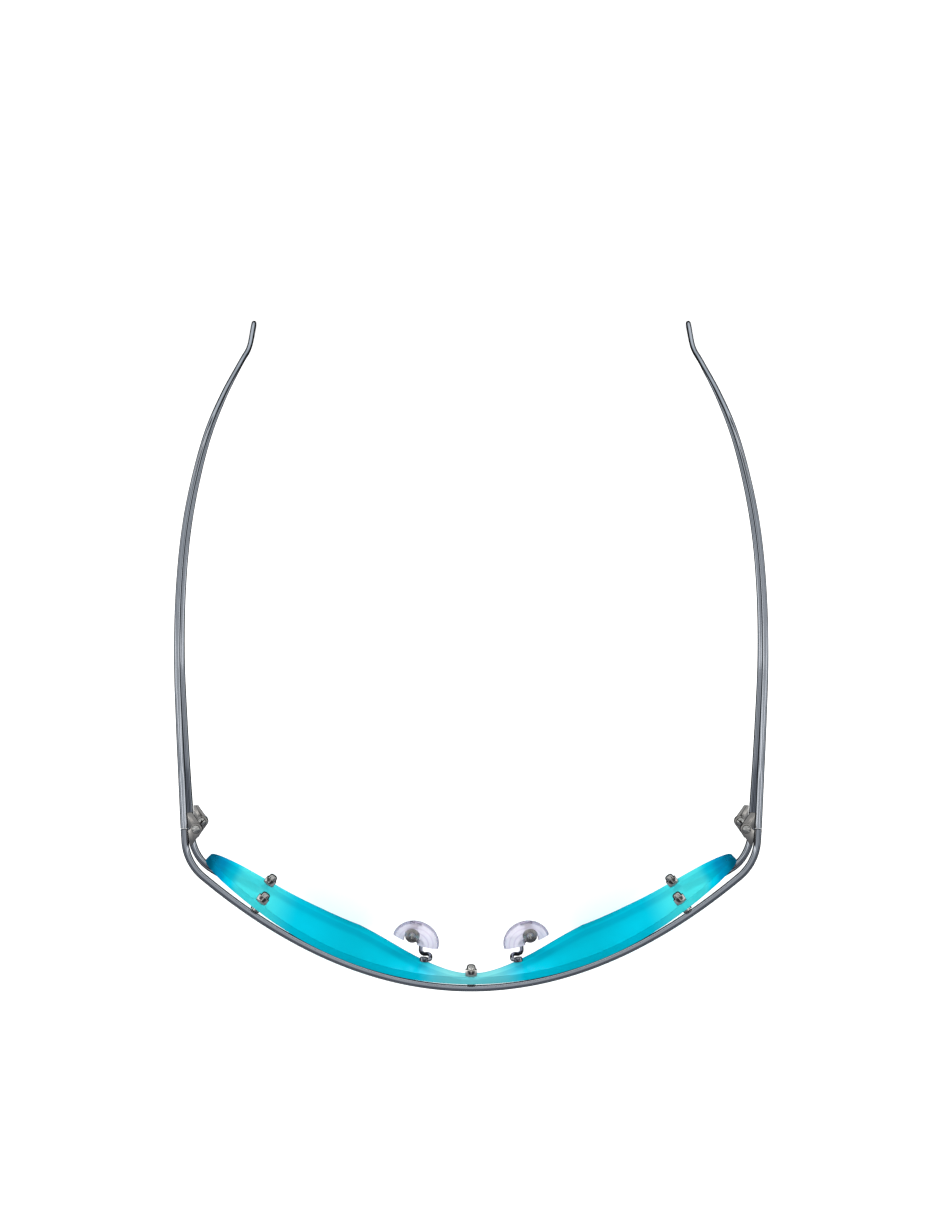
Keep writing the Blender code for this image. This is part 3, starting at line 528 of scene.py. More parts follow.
def sweep(path, radii, segments):
    """A round wire along path with flat, slightly eased ends: one ring extruded from point to point."""
    bm = bmesh.new()
    layer = bm.verts.layers.float_vector.new("wire_place")
    tangents = [(b - a).normalized() for a, b in zip([path[0]] + path[:-1], path[1:] + [path[-1]])
                if (b - a).length > 0]
    start, end = tangents[0], tangents[-1]
    rounds = [(0.0, 0.93), (0.3, 0.97), (1.0, 1.0)]
    first_round, last_round = radii[0] * END_ROUND, radii[-1] * END_ROUND
    stations = [(path[0] + start * first_round * f, start, radii[0] * r) for f, r in rounds]
    stations += [(p, t, r) for p, t, r in zip(path[1:-1], tangents[1:-1], radii[1:-1])]
    stations += [(path[-1] - end * last_round * f, end, radii[-1] * r) for f, r in reversed(rounds)]
    ring = bmesh.ops.create_circle(bm, segments=segments, radius=1.0)["verts"]
    shape = [vert.co.copy() for vert in ring]
    side = Vector((0, 0, 1)).cross(stations[0][1])
    if side.length < 1e-4:
        side = Vector((1, 0, 0))
    travelled = 0.0
    previous = stations[0][0]
    edges = list({edge for vert in ring for edge in vert.link_edges})
    for index, (point, tangent, radius) in enumerate(stations):
        travelled += (point - previous).length
        previous = point
        side = (side - tangent * side.dot(tangent)).normalized()
        up = tangent.cross(side)
        if index:
            made = bmesh.ops.extrude_edge_only(bm, edges=edges)["geom"]
            fresh = {item for item in made if isinstance(item, bmesh.types.BMVert)}
            edges = [item for item in made if isinstance(item, bmesh.types.BMEdge)
                     and fresh.issuperset(item.verts)]
            ring = [next(edge.other_vert(old) for edge in old.link_edges if edge.other_vert(old) in fresh)
                    for old in ring]
        for vert, local in zip(ring, shape):
            vert.co = point + (side * local.x + up * local.y) * radius
            vert[layer] = (local.x, local.y, travelled / LINE_LENGTH)
    bmesh.ops.holes_fill(bm, edges=[edge for edge in bm.edges if edge.is_boundary], sides=0)
    bmesh.ops.recalc_face_normals(bm, faces=bm.faces)
    return bm


# ---- shared geometry

def place(x, setback, z):
    """Point from half width, setback behind the brow wire's front, and height."""
    return Vector((x, setback + BROW_LOW.y + bpy.context.scene.shield_wires.brow_radius, z))


def flipped(vector):
    return Vector((-vector.x, vector.y, vector.z))


BROW_HEIGHT = 45.0 * MM
BROW_DIP = 3.0 * MM
BROW_BOW = 6.1
CORNER_START = 67.5 * MM
CORNER_RADIUS = 12.6 * MM
LENS_APEX = 1.3 * MM
LENS_END_START = 52.0 * MM
LENS_END_FLATTENING = 7.0
LENS_HOLE_RADIUS = 0.65 * MM
LENS_WIDEST_HEIGHT = 32 * MM
HINGE_SPACING = 18.0 * MM
SIDE_STUD_X = 55.2 * MM
STUD_DROP = 32.5 * MM
ARM_FOOT = (12.4 * MM, 28.0 * MM)


def seam_x():
    return BROW_HIGH.x - bpy.context.scene.shield_wires.hinge_radius


def brow_height(x):
    return BROW_HEIGHT - BROW_DIP * (x / seam_x()) ** 2


def lens_front(x, z):
    """Point of the lens front: a cylinder about a vertical axis, with a slight barrel."""
    lens = bpy.context.scene.shield_lens
    drop = BROW_HEIGHT - z
    sweep_back = lens.radius - math.sqrt(lens.radius ** 2 - x ** 2)
    sweep_back -= LENS_END_FLATTENING * max(0.0, abs(x) - LENS_END_START) ** 2
    return place(x, LENS_APEX + sweep_back + drop * abs(drop) / (2 * lens.barrel), z)


def lens_normal(x, z):
    step = 0.05 * MM
    across = lens_front(x + step, z) - lens_front(x - step, z)
    upward = lens_front(x, z + step) - lens_front(x, z - step)
    return across.cross(upward).normalized()


def foot_on_lens(point):
    """The point of the lens front nearest to point, and the normal there."""
    x, z = point.x, point.z
    for _ in range(30):
        surface, normal = lens_front(x, z), lens_normal(x, z)
        offset = point - surface
        sideways = offset - normal * offset.dot(normal)
        x += sideways.x
        z += sideways.z
    return lens_front(x, z), lens_normal(x, z)


def front_wire_points(start_x, height_at):
    """Centreline of a front wire's left half, from start_x round the corner to the seam."""
    points = []
    steps = max(4, round((CORNER_START - start_x) / (1.5 * MM)))
    for i in range(steps + 1):
        x = start_x + (CORNER_START - start_x) * i / steps
        points.append((x, BROW_BOW * x ** 2))
    heading = math.atan(2 * BROW_BOW * CORNER_START)
    last_heading = math.radians(88)
    x0, s0 = points[-1]
    for i in range(1, 17):
        angle = heading + (last_heading - heading) * i / 16
        points.append((x0 + CORNER_RADIUS * (math.sin(angle) - math.sin(heading)),
                       s0 + CORNER_RADIUS * (math.cos(heading) - math.cos(angle))))
    path = [place(x, s, height_at(x)) for x, s in points]
    end = Vector((seam_x(), FOLD_AXIS.y - GAP, height_at(seam_x())))
    return path + [path[-1].lerp(end, 0.5), end]


def lower_wire_height(x):
    hinge = FOLD_AXIS.z - HINGE_SPACING
    low = BROW_HEIGHT - STUD_DROP
    share = min(1.0, max(0.0, (seam_x() - 1.5 * MM - x) / (seam_x() - SIDE_STUD_X)))
    return hinge + (low - hinge) * (share * share * (3 - 2 * share))


def lower_wire_path():
    """The lower wire follows the brow's bow, set back with the barrel of the lens."""
    lens = bpy.context.scene.shield_lens
    barrel = (BROW_HEIGHT - lower_wire_height(SIDE_STUD_X)) ** 2 / (2 * lens.barrel)
    path = []
    for p in front_wire_points(SIDE_STUD_X - 1.6 * MM, lower_wire_height):
        share = min(1.0, max(0.0, (CORNER_START - p.x) / (CORNER_START - SIDE_STUD_X)))
        path.append(p + Vector((0, barrel * share, 0)))
    return path


def wire_radius_at(point):
    wires = bpy.context.scene.shield_wires
    share = min(1.0, abs(point.x) / seam_x()) ** 2
    return wires.brow_radius + (wires.hinge_radius - wires.brow_radius) * share


def wire_point_near(path, x):
    for a, b in zip(path, path[1:]):
        if a.x <= x <= b.x:
            return a.lerp(b, (x - a.x) / (b.x - a.x))
    raise ValueError("no wire at this half width")


def stud_sites():
    """Name and wire centreline point of each stud on the centre and left side."""
    brow = front_wire_points(0.0, brow_height)
    return [
        ("centre", brow[0]),
        ("upper_left", wire_point_near(brow, SIDE_STUD_X)),
        ("lower_left", wire_point_near(lower_wire_path(), SIDE_STUD_X)),
    ]


def arm_foot():
    """Where the left pad arm's screw goes through the lens, and the normal there."""
    x, z = ARM_FOOT
    return lens_front(x, z), lens_normal(x, z)


# ---- lens

def lens_outline():
    """Half of the lens's front view: its lower edge from the bridge, its lateral end and its top."""
    lower = [(0, 39.5), (3.2, 38.8), (7.7, 33), (14.3, 21.8), (20.6, 10.8), (25.5, 4.0), (30, 0)]
    side = [(37, 0), (43, 1.2), (52, 6.0), (60, 13.8), (64.4, 22.0), (66.9, 30.5), (67.3, 37.5), (65.8, 42.0),
            (62.6, 44.4)]
    lift = LENS_HIGH.z - BROW_HEIGHT
    nose, lateral = (smooth_path([Vector((x * MM, z * MM)) for x, z in knots], 0.6 * MM)
                     for knots in (lower, side))
    top = [Vector((x * MM, brow_height(x * MM) + lift)) for x in range(57, -1, -1)]
    return nose, lateral, top


def height_on(edge, x):
    """Height of an outline edge at half width x."""
    for a, b in zip(edge, edge[1:]):
        if x <= b.x:
            share = (x - a.x) / (b.x - a.x) if b.x > a.x else 0.0
            return a.y + (b.y - a.y) * min(1.0, max(0.0, share))
    return edge[-1].y


def slice_faces(bm, faces, axis, low, high, spacing):
    """Cut the faces by evenly spaced planes square to an axis."""
    normal = Vector((0, 0, 0))
    normal[axis] = 1.0
    for i in range(1, round((high - low) / spacing)):
        point = normal * (low + spacing * i)
        geom = {item for face in faces for item in (*face.verts, *face.edges, face)}
        cut = bmesh.ops.bisect_plane(bm, geom=list(geom), plane_co=point, plane_no=normal, dist=0.04 * MM)
        faces = list({item for item in cut["geom"] if isinstance(item, bmesh.types.BMFace)})
    return faces


class SHIELD_OT_lens(bpy.types.Operator):
    """Model the one-piece lens: a bent, polished shield with holes for its seven fasteners"""
    bl_idname = "shield.lens"
    bl_label = "Lens"

    def execute(self, context):
        lens = context.scene.shield_lens
        nose, lateral, top = lens_outline()
        half = nose + lateral + top[:-1]
        outline = half + [Vector((0, top[-1].y))] + [Vector((-p.x, p.y)) for p in reversed(half[1:])]
        bm = bmesh.new()
        blank = bm.faces.new([bm.verts.new((p.x, 0, p.y)) for p in outline])
        bmesh.ops.inset_region(bm, faces=[blank], thickness=lens.edge_round * 1.5, use_even_offset=True)
        field = slice_faces(bm, [blank], 0, LENS_LOW.x, LENS_HIGH.x, 1.1 * MM)
        slice_faces(bm, field, 2, 0.0, LENS_HIGH.z, 1.6 * MM)
        for vert in bm.verts:
            vert.co = lens_front(vert.co.x, vert.co.z)
        bm.normal_update()
        if sum(face.normal.y * face.calc_area() for face in bm.faces) > 0:
            bmesh.ops.reverse_faces(bm, faces=bm.faces)
        bmesh.ops.solidify(bm, geom=bm.faces[:], thickness=lens.thickness)
        round_edges(bm, lens.edge_round, 50, 3)
        piece = new_piece("shield_lens", bm, "tinted_lens")
        for surface, normal in self.holes():
            boolean(piece, cylinder(LENS_HOLE_RADIUS, surface + normal * 3 * MM, surface - normal * 5 * MM))
        self.mark_heights(piece, nose, lateral)
        piece.visible_glossy = False
        settle(piece, "lens", "front")
        return {"FINISHED"}

    def mark_heights(self, piece, nose, lateral):
        """Store how far each point stands above the lower edge, and below the top, for painted reflection and
        shade.
        """
        lower = nose + [p for p in lateral if p.y < LENS_WIDEST_HEIGHT]
        above = piece.data.attributes.new("above_edge", "FLOAT", "POINT")
        below = piece.data.attributes.new("below_top", "FLOAT", "POINT")
        lift = LENS_HIGH.z - BROW_HEIGHT
        for vert, up, down in zip(piece.data.vertices, above.data, below.data):
            up.value = max(0.0, vert.co.z - height_on(lower, abs(vert.co.x))) * 1000
            down.value = max(0.0, brow_height(vert.co.x) + lift - vert.co.z) * 1000

    def holes(self):
        """Hole centres on the lens front, with their normals."""
        feet = [foot_on_lens(point) for _, point in stud_sites()] + [arm_foot()]
        mirrored = [(flipped(surface), flipped(normal)) for surface, normal in feet[1:]]
        return feet + mirrored


# ---- wires

def temple_centreline():
    """Middle of the temple loop: bows out past the hinge, curves in and drops behind the ear."""
    knots = [(72.25, 39.9, 33.0), (72.9, 52, 33.0), (73.6, 66, 32.8), (74.2, 82, 32.1),
             (74.0, 98, 30.7), (72.9, 113, 28.5), (70.9, 126, 25.2), (67.9, 139, 20.0),
             (64.1, 149.6, 14.2), (60.1, 158.2, 8.7), (58.1, 162.4, 5.3), (57.2, 168.0, 1.6)]
    return smooth_path([place(x * MM, s * MM, z * MM) for x, s, z in knots], 1.4 * MM)


def blend_table(table, at):
    """Value between the (position, value) knots of a table."""
    for (p0, v0), (p1, v1) in zip(table, table[1:]):
        if at <= p1:
            return v0 + (v1 - v0) * max(0.0, (at - p0) / (p1 - p0))
    return table[-1][1]


HAIRPIN_RADIUS = 0.95 * MM


def temple_loop(wires):
    """Upper wire back to the tip, a hairpin bend, and the lower wire forward to its hinge."""
    centre = temple_centreline()
    half_gaps = [(0.0, 9.0), (14, 7.6), (40, 6.4), (80, 5.8), (105, 4.2), (122, 1.5), (128, 0.95)]
    upper, lower, thickness = [], [], []
    travelled = 0.0
    for i, point in enumerate(centre):
        before, after = centre[max(i - 1, 0)], centre[min(i + 1, len(centre) - 1)]
        tangent = (after - before).normalized()
        if i:
            travelled += (point - centre[i - 1]).length
        upright = Vector((0, 0, 1)) - tangent * tangent.z * (1 if i else 0)
        upright.normalize()
        half_gap = blend_table(half_gaps, travelled / MM) * MM
        upper.append(point + upright * half_gap)
        lower.append(point - upright * half_gap)
        share = min(1.0, travelled / (125 * MM))
        thickness.append(wires.hinge_radius + (wires.tip_radius - wires.hinge_radius) * share)
    bend = []
    for degrees in range(75, -76, -15):
        angle = math.radians(degrees)
        behind = centre[-1] + tangent * (HAIRPIN_RADIUS * math.cos(angle))
        bend.append(behind + upright * (HAIRPIN_RADIUS * math.sin(angle)))
    seam = Vector((0, GAP, 0))
    upper[0] += seam
    lower[0] += seam
    return upper + bend + lower[::-1], thickness + [thickness[-1]] * len(bend) + thickness[::-1]


class SHIELD_OT_wires(bpy.types.Operator):
    """Model the plated wires: brow, lower front wires and the two temple loops"""
    bl_idname = "shield.wires"
    bl_label = "Wires"

    def execute(self, context):
        wires = context.scene.shield_wires
        left = front_wire_points(0.0, brow_height)
        brow = self.wire("brow_rail", [flipped(p) for p in reversed(left[1:])] + left)
        settle(brow, "brow_wire", "front")
        settle_pair(self.wire("lower_rail_left", lower_wire_path()), "lower_wire_left", "front")
        path, radii = temple_loop(wires)
        temple = new_piece("temple_loop_left", sweep(path, radii, wires.segments), "polished_plating")
        settle_pair(temple, "temple_wire_left", "temple_left")
        return {"FINISHED"}

    def wire(self, name, path):
        segments = bpy.context.scene.shield_wires.segments
        return new_piece(name, sweep(path, [wire_radius_at(p) for p in path], segments), "polished_plating")


# ---- studs, washers and cap nuts

STUD_RADIUS = 0.6 * MM
WASHER_RADIUS = 1.42 * MM
WASHER_THICKNESS = 0.35 * MM
NUT_RADIUS = 1.68 * MM
NUT_FLATS = 1.3 * MM
NUT_HEIGHT = 2.5 * MM


def cap_nut_mesh(seat):
    """Six flats with rounded corners, chamfered to a turned seat, before the cap is joined on."""
    bm = prism(NUT_RADIUS, NUT_FLATS, 6)
    bmesh.ops.translate(bm, vec=(0, 0, NUT_FLATS / 2), verts=bm.verts)
    round_edges(bm, 0.09 * MM, 40)
    bmesh.ops.transform(bm, matrix=seat, verts=bm.verts)
    return bm


def nut_cap_profile():
    """Short cap with an almost flat crown, as (radius, height) from the crown down."""
    crown = [(0.60, 0.0), (0.82, 0.07), (0.98, 0.22), (1.08, 0.46), (1.15, 0.85), (1.20, 1.30), (1.22, 1.45)]
    return [(0.0, NUT_HEIGHT + 0.02 * MM)] + [(r * MM, NUT_HEIGHT - drop * MM) for r, drop in crown]


class SHIELD_OT_studs(bpy.types.Operator):
    """Model the five studs with their washers and cap nuts"""
    bl_idname = "shield.studs"
    bl_label = "Studs and cap nuts"

    def execute(self, context):
        for name, point in stud_sites():
            for piece, node in self.stud_set(context, name, point):
                if name == "centre":
                    settle(piece, node, "front")
                else:
                    settle_pair(piece, node, "front")
        return {"FINISHED"}

    def stud_set(self, context, name, point):
        thickness = context.scene.shield_lens.thickness
        surface, normal = foot_on_lens(point)
        back = -normal
        collar = (point - surface).length - wire_radius_at(point) - 2 * GAP
        washer_start = thickness + GAP
        nut_start = washer_start + WASHER_THICKNESS + GAP
        reach = nut_start + NUT_FLATS
        collar_profile = [(1.1 * MM, collar), (1.25 * MM, collar - 0.08 * MM), (1.25 * MM, 0.14 * MM),
                          (1.15 * MM, GAP), (STUD_RADIUS, GAP), (STUD_RADIUS, GAP - reach)]
        stud = new_piece("collar_stud_" + name, turned(collar_profile, frame_along(normal, surface)),
                         "turned_steel")
        washer_profile = disc_profile(WASHER_RADIUS, WASHER_THICKNESS, 0.08 * MM)
        washer_seat = frame_along(back, surface + back * washer_start)
        washer = new_piece("nylon_ring_" + name, turned(washer_profile, washer_seat), "nylon_washer")
        hole = STUD_RADIUS + BORE_CLEARANCE
        boolean(washer, cylinder(hole, surface, surface + back * 6 * MM))
        seat = frame_along(back, surface + back * nut_start)
        nut = new_piece("domed_nut_" + name, cap_nut_mesh(seat), "turned_steel")
        boolean(nut, turned(nut_cap_profile(), seat), "UNION")
        boolean(nut, cylinder(hole, surface, surface + back * (reach + 0.3 * MM)))
        return [(stud, "stud_" + name), (washer, "washer_" + name), (nut, "cap_nut_" + name)]


# ---- hinges

KNUCKLE_RADIUS = 1.5 * MM
HINGE_STACK = 2.5 * MM
KNUCKLE_HEIGHT = 0.96 * MM
PIN_RADIUS = 0.55 * MM


def leaf_outline(forward):
    """Plan of a hinge leaf about the pin: a round knuckle and a tail that lies along the wire."""
    wire_inside = seam_x() - FOLD_AXIS.x - bpy.context.scene.shield_wires.hinge_radius - GAP
    lean = -0.1 if forward else 0.05
    tail = [(0.55 * MM, -3.35 * MM), (1.05 * MM, -4.15 * MM)]
    tail += [(wire_inside + lean * along, -along) for along in (4.1 * MM, 2.9 * MM, 0.25 * MM)]
    points = arc(KNUCKLE_RADIUS, 60, 215, 28) + tail + [(1.45 * MM, 0.1 * MM)]
    return points if forward else [(x, -y) for x, y in points]


class SHIELD_OT_hinges(bpy.types.Operator):
    """Model the two coaxial hinges of each side: forked front leaf, temple leaf and screw"""
    bl_idname = "shield.hinges"
    bl_label = "Hinges"

    def execute(self, context):
        for level, height in (("upper", FOLD_AXIS.z), ("lower", FOLD_AXIS.z - HINGE_SPACING)):
            pin = Vector((FOLD_AXIS.x, FOLD_AXIS.y, height))
            front = self.leaf(f"fork_leaf_{level}_left", True, pin, HINGE_STACK)
            settle_pair(front, f"front_leaf_{level}_left", "front")
            rear = self.leaf(f"single_leaf_{level}_left", False, pin, KNUCKLE_HEIGHT)
            settle_pair(rear, f"temple_leaf_{level}_left", "temple_left")
            settle_pair(self.screw(level, pin), f"hinge_screw_{level}_left", "front")
        return {"FINISHED"}

    def leaf(self, name, forward, pin, height):
        body = plate(leaf_outline(forward), -height / 2, height / 2, Matrix.Translation(pin))
        leaf = new_piece(name, body, "blanked_steel")
        bore(leaf, PIN_RADIUS + BORE_CLEARANCE, pin)
        if forward:
            bore(leaf, KNUCKLE_RADIUS + 0.15 * MM, pin, KNUCKLE_HEIGHT / 2 + GAP, 48)
        return leaf

    def screw(self, level, pin):
        seat = HINGE_STACK / 2 + GAP
        head = in_mm([(0.45, 0.72), (0.80, 0.62), (1.02, 0.38), (1.1, 0.14), (1.1, 0.0)], seat)
        profile = head + [(PIN_RADIUS, seat), (PIN_RADIUS, -seat)]
        middle = Matrix.Translation(pin)
        screw = new_piece(f"pan_screw_{level}_left", turned(profile, middle), "turned_steel")
        turn = Matrix.Rotation(math.radians(50), 4, "Z")
        boolean(screw, block((0.3 * MM, 4 * MM, 0.6 * MM), (0, 0, seat + 0.75 * MM), middle @ turn))
        return screw


# ---- nose pads and their arms

BOX_RADIUS = 1.9 * MM
BOX_HEIGHT = 3.4 * MM
LUG_THICKNESS = 1.3 * MM
PAD_PIN_RADIUS = 0.45 * MM
PAD_OFFSET = (-1.35 * MM, -1.3 * MM)
NOTCH_RADIUS = 1.4 * MM
ARM_FOOT_RADIUS = 1.1 * MM
ARM_FOOT_HEIGHT = 1.14 * MM
ARM_ATTACH = math.radians(212)


def pad_frame():
    """Pad axes at the screw: X along the pad's back, Y out through its face, Z up."""
    matrix = Matrix.Rotation(bpy.context.scene.shield_pads.turn, 4, "Z")
    matrix.translation = PAD_AXIS
    return matrix


def arm_path():
    """The S-shaped arm, from its foot on the lens back to the pad's box."""
    thickness = bpy.context.scene.shield_lens.thickness
    surface, normal = arm_foot()
    foot = surface - normal * (thickness + GAP + ARM_FOOT_HEIGHT / 2)
    inboard = Vector((-1, 0, 0))
    inboard = (inboard - normal * inboard.dot(normal)).normalized()
    start = foot + inboard * 0.55 * MM
    radial = Vector((math.cos(ARM_ATTACH), math.sin(ARM_ATTACH), 0))
    bends = [(10.5, 5.5, 26.8), (11.1, 5.8, 25.5), (12.2, 5.6, 24.1), (13.0, 6.1, 22.7)]
    knots = [start, foot + inboard * 1.45 * MM - normal * 0.25 * MM]
    knots += [place(x * MM, setback * MM, z * MM) for x, setback, z in bends]
    knots += [pad_frame() @ (radial * reach) for reach in (BOX_RADIUS + NOTCH_RADIUS, BOX_RADIUS + GAP)]
    return smooth_path(knots, 0.3 * MM)


class SHIELD_OT_arms(bpy.types.Operator):
    """Model the pad arms with their feet and screws, and the boxes on the arms' ends"""
    bl_idname = "shield.arms"
    bl_label = "Pad arms"

    def execute(self, context):
        wires = context.scene.shield_wires
        thickness = context.scene.shield_lens.thickness
        surface, normal = arm_foot()
        path = arm_path()
        arm = new_piece("bent_arm_left", sweep(path, [wires.arm_radius] * len(path), 20), "polished_plating")
        foot = disc_profile(ARM_FOOT_RADIUS, ARM_FOOT_HEIGHT, 0.1 * MM)
        seat = surface - normal * (thickness + GAP)
        boolean(arm, turned(foot, frame_along(-normal, seat)), "UNION")
        boolean(arm, cylinder(LENS_HOLE_RADIUS, surface, surface - normal * 6 * MM))
        settle_pair(arm, "pad_arm_left", "front")
        head = in_mm([(0.4, 0.62), (0.8, 0.54), (1.1, 0.3), (1.25, 0.08), (1.25, 0.0)])
        head += [(STUD_RADIUS, 0.0), (STUD_RADIUS, -thickness - ARM_FOOT_HEIGHT)]
        screw = turned([(r, h + GAP) for r, h in head], frame_along(normal, surface))
        settle_pair(new_piece("foot_screw_left", screw, "turned_steel"), "arm_screw_left", "front")
        settle_pair(self.box(), "pad_box_left", "front")
        seat = BOX_HEIGHT / 2 + GAP
        head = in_mm([(0.35, 0.6), (0.65, 0.52), (0.88, 0.3), (0.95, 0.0)], seat)
        profile = head + [(PAD_PIN_RADIUS, seat), (PAD_PIN_RADIUS, -seat)]
        screw = new_piece("swivel_screw_left", turned(profile, pad_frame()), "turned_steel")
        boolean(screw, block((0.26 * MM, 4 * MM, 0.5 * MM), (0, 0, seat + 0.6 * MM), pad_frame()))
        settle_pair(screw, "pad_screw_left", "front")
        return {"FINISHED"}

    def box(self):
        """A drum with broken edges and a slot that the pad's lug turns in."""
        matrix = pad_frame()
        bm = prism(BOX_RADIUS, BOX_HEIGHT, 48)
        round_edges(bm, 0.15 * MM, 50, 3)
        bmesh.ops.transform(bm, matrix=matrix, verts=bm.verts)
        box = new_piece("swivel_box_left", bm, "blanked_steel")
        boolean(box, block((6 * MM, 4 * MM, LUG_THICKNESS + 2 * GAP), (0, 0.85 * MM, 0), matrix))
        bore(box, PAD_PIN_RADIUS + BORE_CLEARANCE, matrix.translation)
        return box


def lug_outline(grow):
    """Plan of the lug: an eye round the screw and a tongue with a cross bar in the silicone."""
    eye = 0.95 * MM + grow
    neck = 0.7 * MM + grow
    bar = 1.45 * MM + grow
    joint = math.degrees(math.asin(neck / eye))
    bar_front, bar_back = 2.3 * MM - grow, 2.85 * MM + grow
    return arc(eye, 90 + joint, 450 - joint, 28) + [
        (neck, bar_front), (bar, bar_front), (bar, bar_back), (-bar, bar_back), (-bar, bar_front),
        (-neck, bar_front)]


class SHIELD_OT_pads(bpy.types.Operator):
    """Model the clear nose pads and the metal lugs moulded into them"""
    bl_idname = "shield.pads"
    bl_label = "Nose pads"

    def execute(self, context):
        matrix = pad_frame()
        half = LUG_THICKNESS / 2
        lug = new_piece("moulded_lug_left", plate(lug_outline(0.0), -half, half, matrix, 0.06 * MM),
                        "blanked_steel")
        centre = matrix.translation
        bore(lug, PAD_PIN_RADIUS + BORE_CLEARANCE, centre)
        settle_pair(lug, "pad_lug_left", "pad_left")
        pad = new_piece("silicone_pad_left", self.dome(context.scene.shield_pads, matrix), "clear_silicone")
        below = BOX_HEIGHT / 2 + 0.85 * MM
        well_top = Vector((0, 0, context.scene.shield_pads.half_height + 1 * MM))
        boolean(pad, cylinder(BOX_RADIUS + 0.28 * MM, centre - Vector((0, 0, below)), centre + well_top, 48))
        entry = matrix @ (Vector((math.cos(ARM_ATTACH), math.sin(ARM_ATTACH), 0)) * (BOX_RADIUS + 0.75 * MM))
        bore(pad, NOTCH_RADIUS, entry, below, 40)
        boolean(pad, plate(lug_outline(GAP), -half - GAP, half + GAP, matrix, 0.0))
        self.mark_rings(pad, context.scene.shield_pads, matrix)
        settle_pair(pad, "nose_pad_left", "pad_left")
        return {"FINISHED"}

    def mark_rings(self, piece, pads, matrix):
        """Store how far out each point lies in plan, for the painted shade rings and rim."""
        inverse = matrix.inverted()
        layer = piece.data.attributes.new("from_middle", "FLOAT", "POINT")
        for vert, item in zip(piece.data.vertices, layer.data):
            local = inverse @ vert.co - Vector((*PAD_OFFSET, 0))
            item.value = math.hypot(local.x / pads.half_width, local.y / pads.depth)

    def dome(self, pads, matrix):
        """Half an egg with a rounded rim and a moulded ring round its face."""
        bm = bmesh.new()
        bmesh.ops.create_uvsphere(bm, u_segments=72, v_segments=48, radius=1.0)
        bmesh.ops.bisect_plane(bm, geom=bm.verts[:] + bm.edges[:] + bm.faces[:], plane_co=(0, 0, 0),
                               plane_no=(0, -1, 0), clear_outer=True)
        for vert in bm.verts:
            ring = math.hypot(vert.co.x, vert.co.z)
            vert.co.y *= 1.0 - 0.035 * math.exp(-((ring - 0.80) / 0.035) ** 2)
        bmesh.ops.holes_fill(bm, edges=[edge for edge in bm.edges if edge.is_boundary], sides=0)
        bmesh.ops.scale(bm, vec=(pads.half_width, pads.depth, pads.half_height), verts=bm.verts)
        bmesh.ops.recalc_face_normals(bm, faces=bm.faces)
        round_edges(bm, 0.35 * MM, 60, 4)
        bmesh.ops.translate(bm, vec=(*PAD_OFFSET, 0), verts=bm.verts)
        bmesh.ops.transform(bm, matrix=matrix, verts=bm.verts)
        return bm


# ---- studio

def area_light(name, location, size, power):
    """A rectangular light that faces the middle of the floor."""
    data = bpy.data.lights.new(name, "AREA")
    data.shape = "RECTANGLE"
    data.size, data.size_y = size
    data.energy = power
    light = bpy.data.objects.new(name, data)
    light.location = location
    light.rotation_euler = (Vector((0, 0, 0)) - Vector(location)).to_track_quat("-Z", "Y").to_euler()
    bpy.context.scene.collection.objects.link(light)
    return light


def studio_world():
    """Pale backdrop, with a grey room that only reflections show."""
    world = bpy.data.worlds.new("studio_world")
    world.use_nodes = True
    tree = world.node_tree
    background = tree.nodes["Background"]
    axes = axes_of(tree, "Generated")
    height = spread(tree, axes["Z"], 0.0, 1.0, -1.0, 1.0)
    room = ramp(tree, height, [
        (0.00, (0.02, 0.02, 0.022)), (0.42, (0.02, 0.02, 0.022)), (0.50, (0.42, 0.46, 0.50)),
        (0.68, (0.80, 0.84, 0.88)), (0.75, (0.06, 0.06, 0.065)), (0.81, (0.06, 0.06, 0.065)),
        (0.88, (0.50, 0.54, 0.58)), (1.00, (0.44, 0.46, 0.49))])
    facing = ramp(tree, spread(tree, axes["Y"], 0.0, 1.0, -1.0, 1.0), [
        (0.00, (0.35, 0.36, 0.39)), (0.35, (0.35, 0.36, 0.39)), (0.50, WHITE), (1.00, WHITE)])
    room = mix_colours(tree, 1.0, room, facing, "MULTIPLY")
    path = add_node(tree, "ShaderNodeLightPath")
    colour = mix_colours(tree, path.outputs["Is Glossy Ray"], (0.92, 0.93, 0.95, 1.0), room)
    tree.links.new(colour, background.inputs["Color"])
    return world


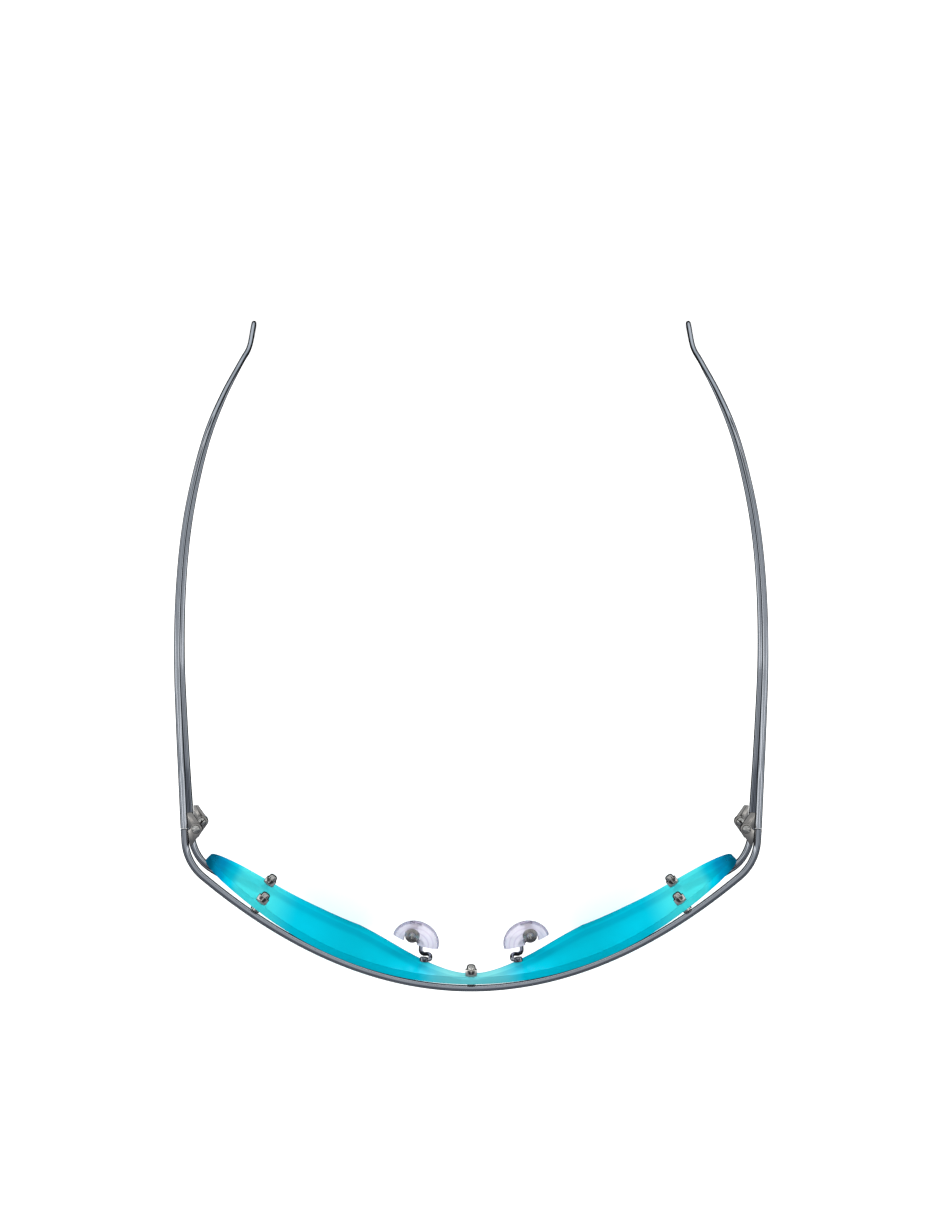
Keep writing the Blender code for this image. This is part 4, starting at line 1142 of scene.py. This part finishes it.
class SHIELD_OT_studio(bpy.types.Operator):
    """Set up the pale floor, the soft lights, the room that the wires reflect and the camera"""
    bl_idname = "shield.studio"
    bl_label = "Studio"

    def execute(self, context):
        studio = context.scene.shield_studio
        scene = context.scene
        bm = bmesh.new()
        bmesh.ops.create_grid(bm, x_segments=8, y_segments=8, size=3.0)
        floor = new_piece("studio_floor", bm, "studio_floor")
        floor.visible_glossy = False
        scene.world = studio_world()
        area_light("overhead_box", (0.0, 0.0, 1.6), (2.2, 2.2), 26).visible_glossy = False
        area_light("left_strip", (-1.0, 0.1, 1.0), (0.10, 1.6), 0.4)
        area_light("right_strip", (1.0, 0.1, 1.0), (0.10, 1.6), 0.35)
        area_light("front_strip", (0.0, -0.9, 1.1), (1.8, 0.10), 1.0).visible_glossy = False
        area_light("back_strip", (0.0, 1.0, 0.8), (1.8, 0.08), 0.5)
        camera_data = bpy.data.cameras.new("view_camera")
        camera_data.sensor_fit = "HORIZONTAL"
        camera_data.sensor_width = 36.0
        camera_data.lens = studio.focal_length
        camera_data.clip_start = 0.01
        camera_data.clip_end = 50.0
        camera = bpy.data.objects.new("view_camera", camera_data)
        camera.location = place(-0.3 * MM, 126.35 * MM, BROW_HEIGHT + studio.camera_height)
        camera.rotation_euler = (-studio.camera_tilt, 0.0, 0.0)
        scene.collection.objects.link(camera)
        scene.camera = camera
        scene.view_settings.view_transform = "Standard"
        return {"FINISHED"}


# ---- panel and registration

STEPS = (SHIELD_OT_studio, SHIELD_OT_lens, SHIELD_OT_wires, SHIELD_OT_studs, SHIELD_OT_hinges, SHIELD_OT_arms,
         SHIELD_OT_pads)


class SHIELD_PT_panel(bpy.types.Panel):
    """Lists the steps that model the glasses"""
    bl_idname = "SHIELD_PT_panel"
    bl_label = "Shield Sunglasses"
    bl_space_type = "VIEW_3D"
    bl_region_type = "UI"
    bl_category = "Eyewear"

    def draw(self, context):
        for step in STEPS:
            self.layout.operator(step.bl_idname)


GROUPS = {
    "shield_wires": WireProperties,
    "shield_lens": LensProperties,
    "shield_pads": PadProperties,
    "shield_metal": MetalProperties,
    "shield_studio": StudioProperties,
}


def register():
    for cls in (*GROUPS.values(), *STEPS, SHIELD_PT_panel):
        bpy.utils.register_class(cls)
    for name, group in GROUPS.items():
        setattr(bpy.types.Scene, name, PointerProperty(type=group))


def unregister():
    for name in GROUPS:
        delattr(bpy.types.Scene, name)
    for cls in reversed((*GROUPS.values(), *STEPS, SHIELD_PT_panel)):
        bpy.utils.unregister_class(cls)


def main():
    register()
    bpy.ops.shield.studio()
    bpy.ops.shield.lens()
    bpy.ops.shield.wires()
    bpy.ops.shield.studs()
    bpy.ops.shield.hinges()
    bpy.ops.shield.arms()
    bpy.ops.shield.pads()
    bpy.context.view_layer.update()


if __name__ == "__main__":
    main()
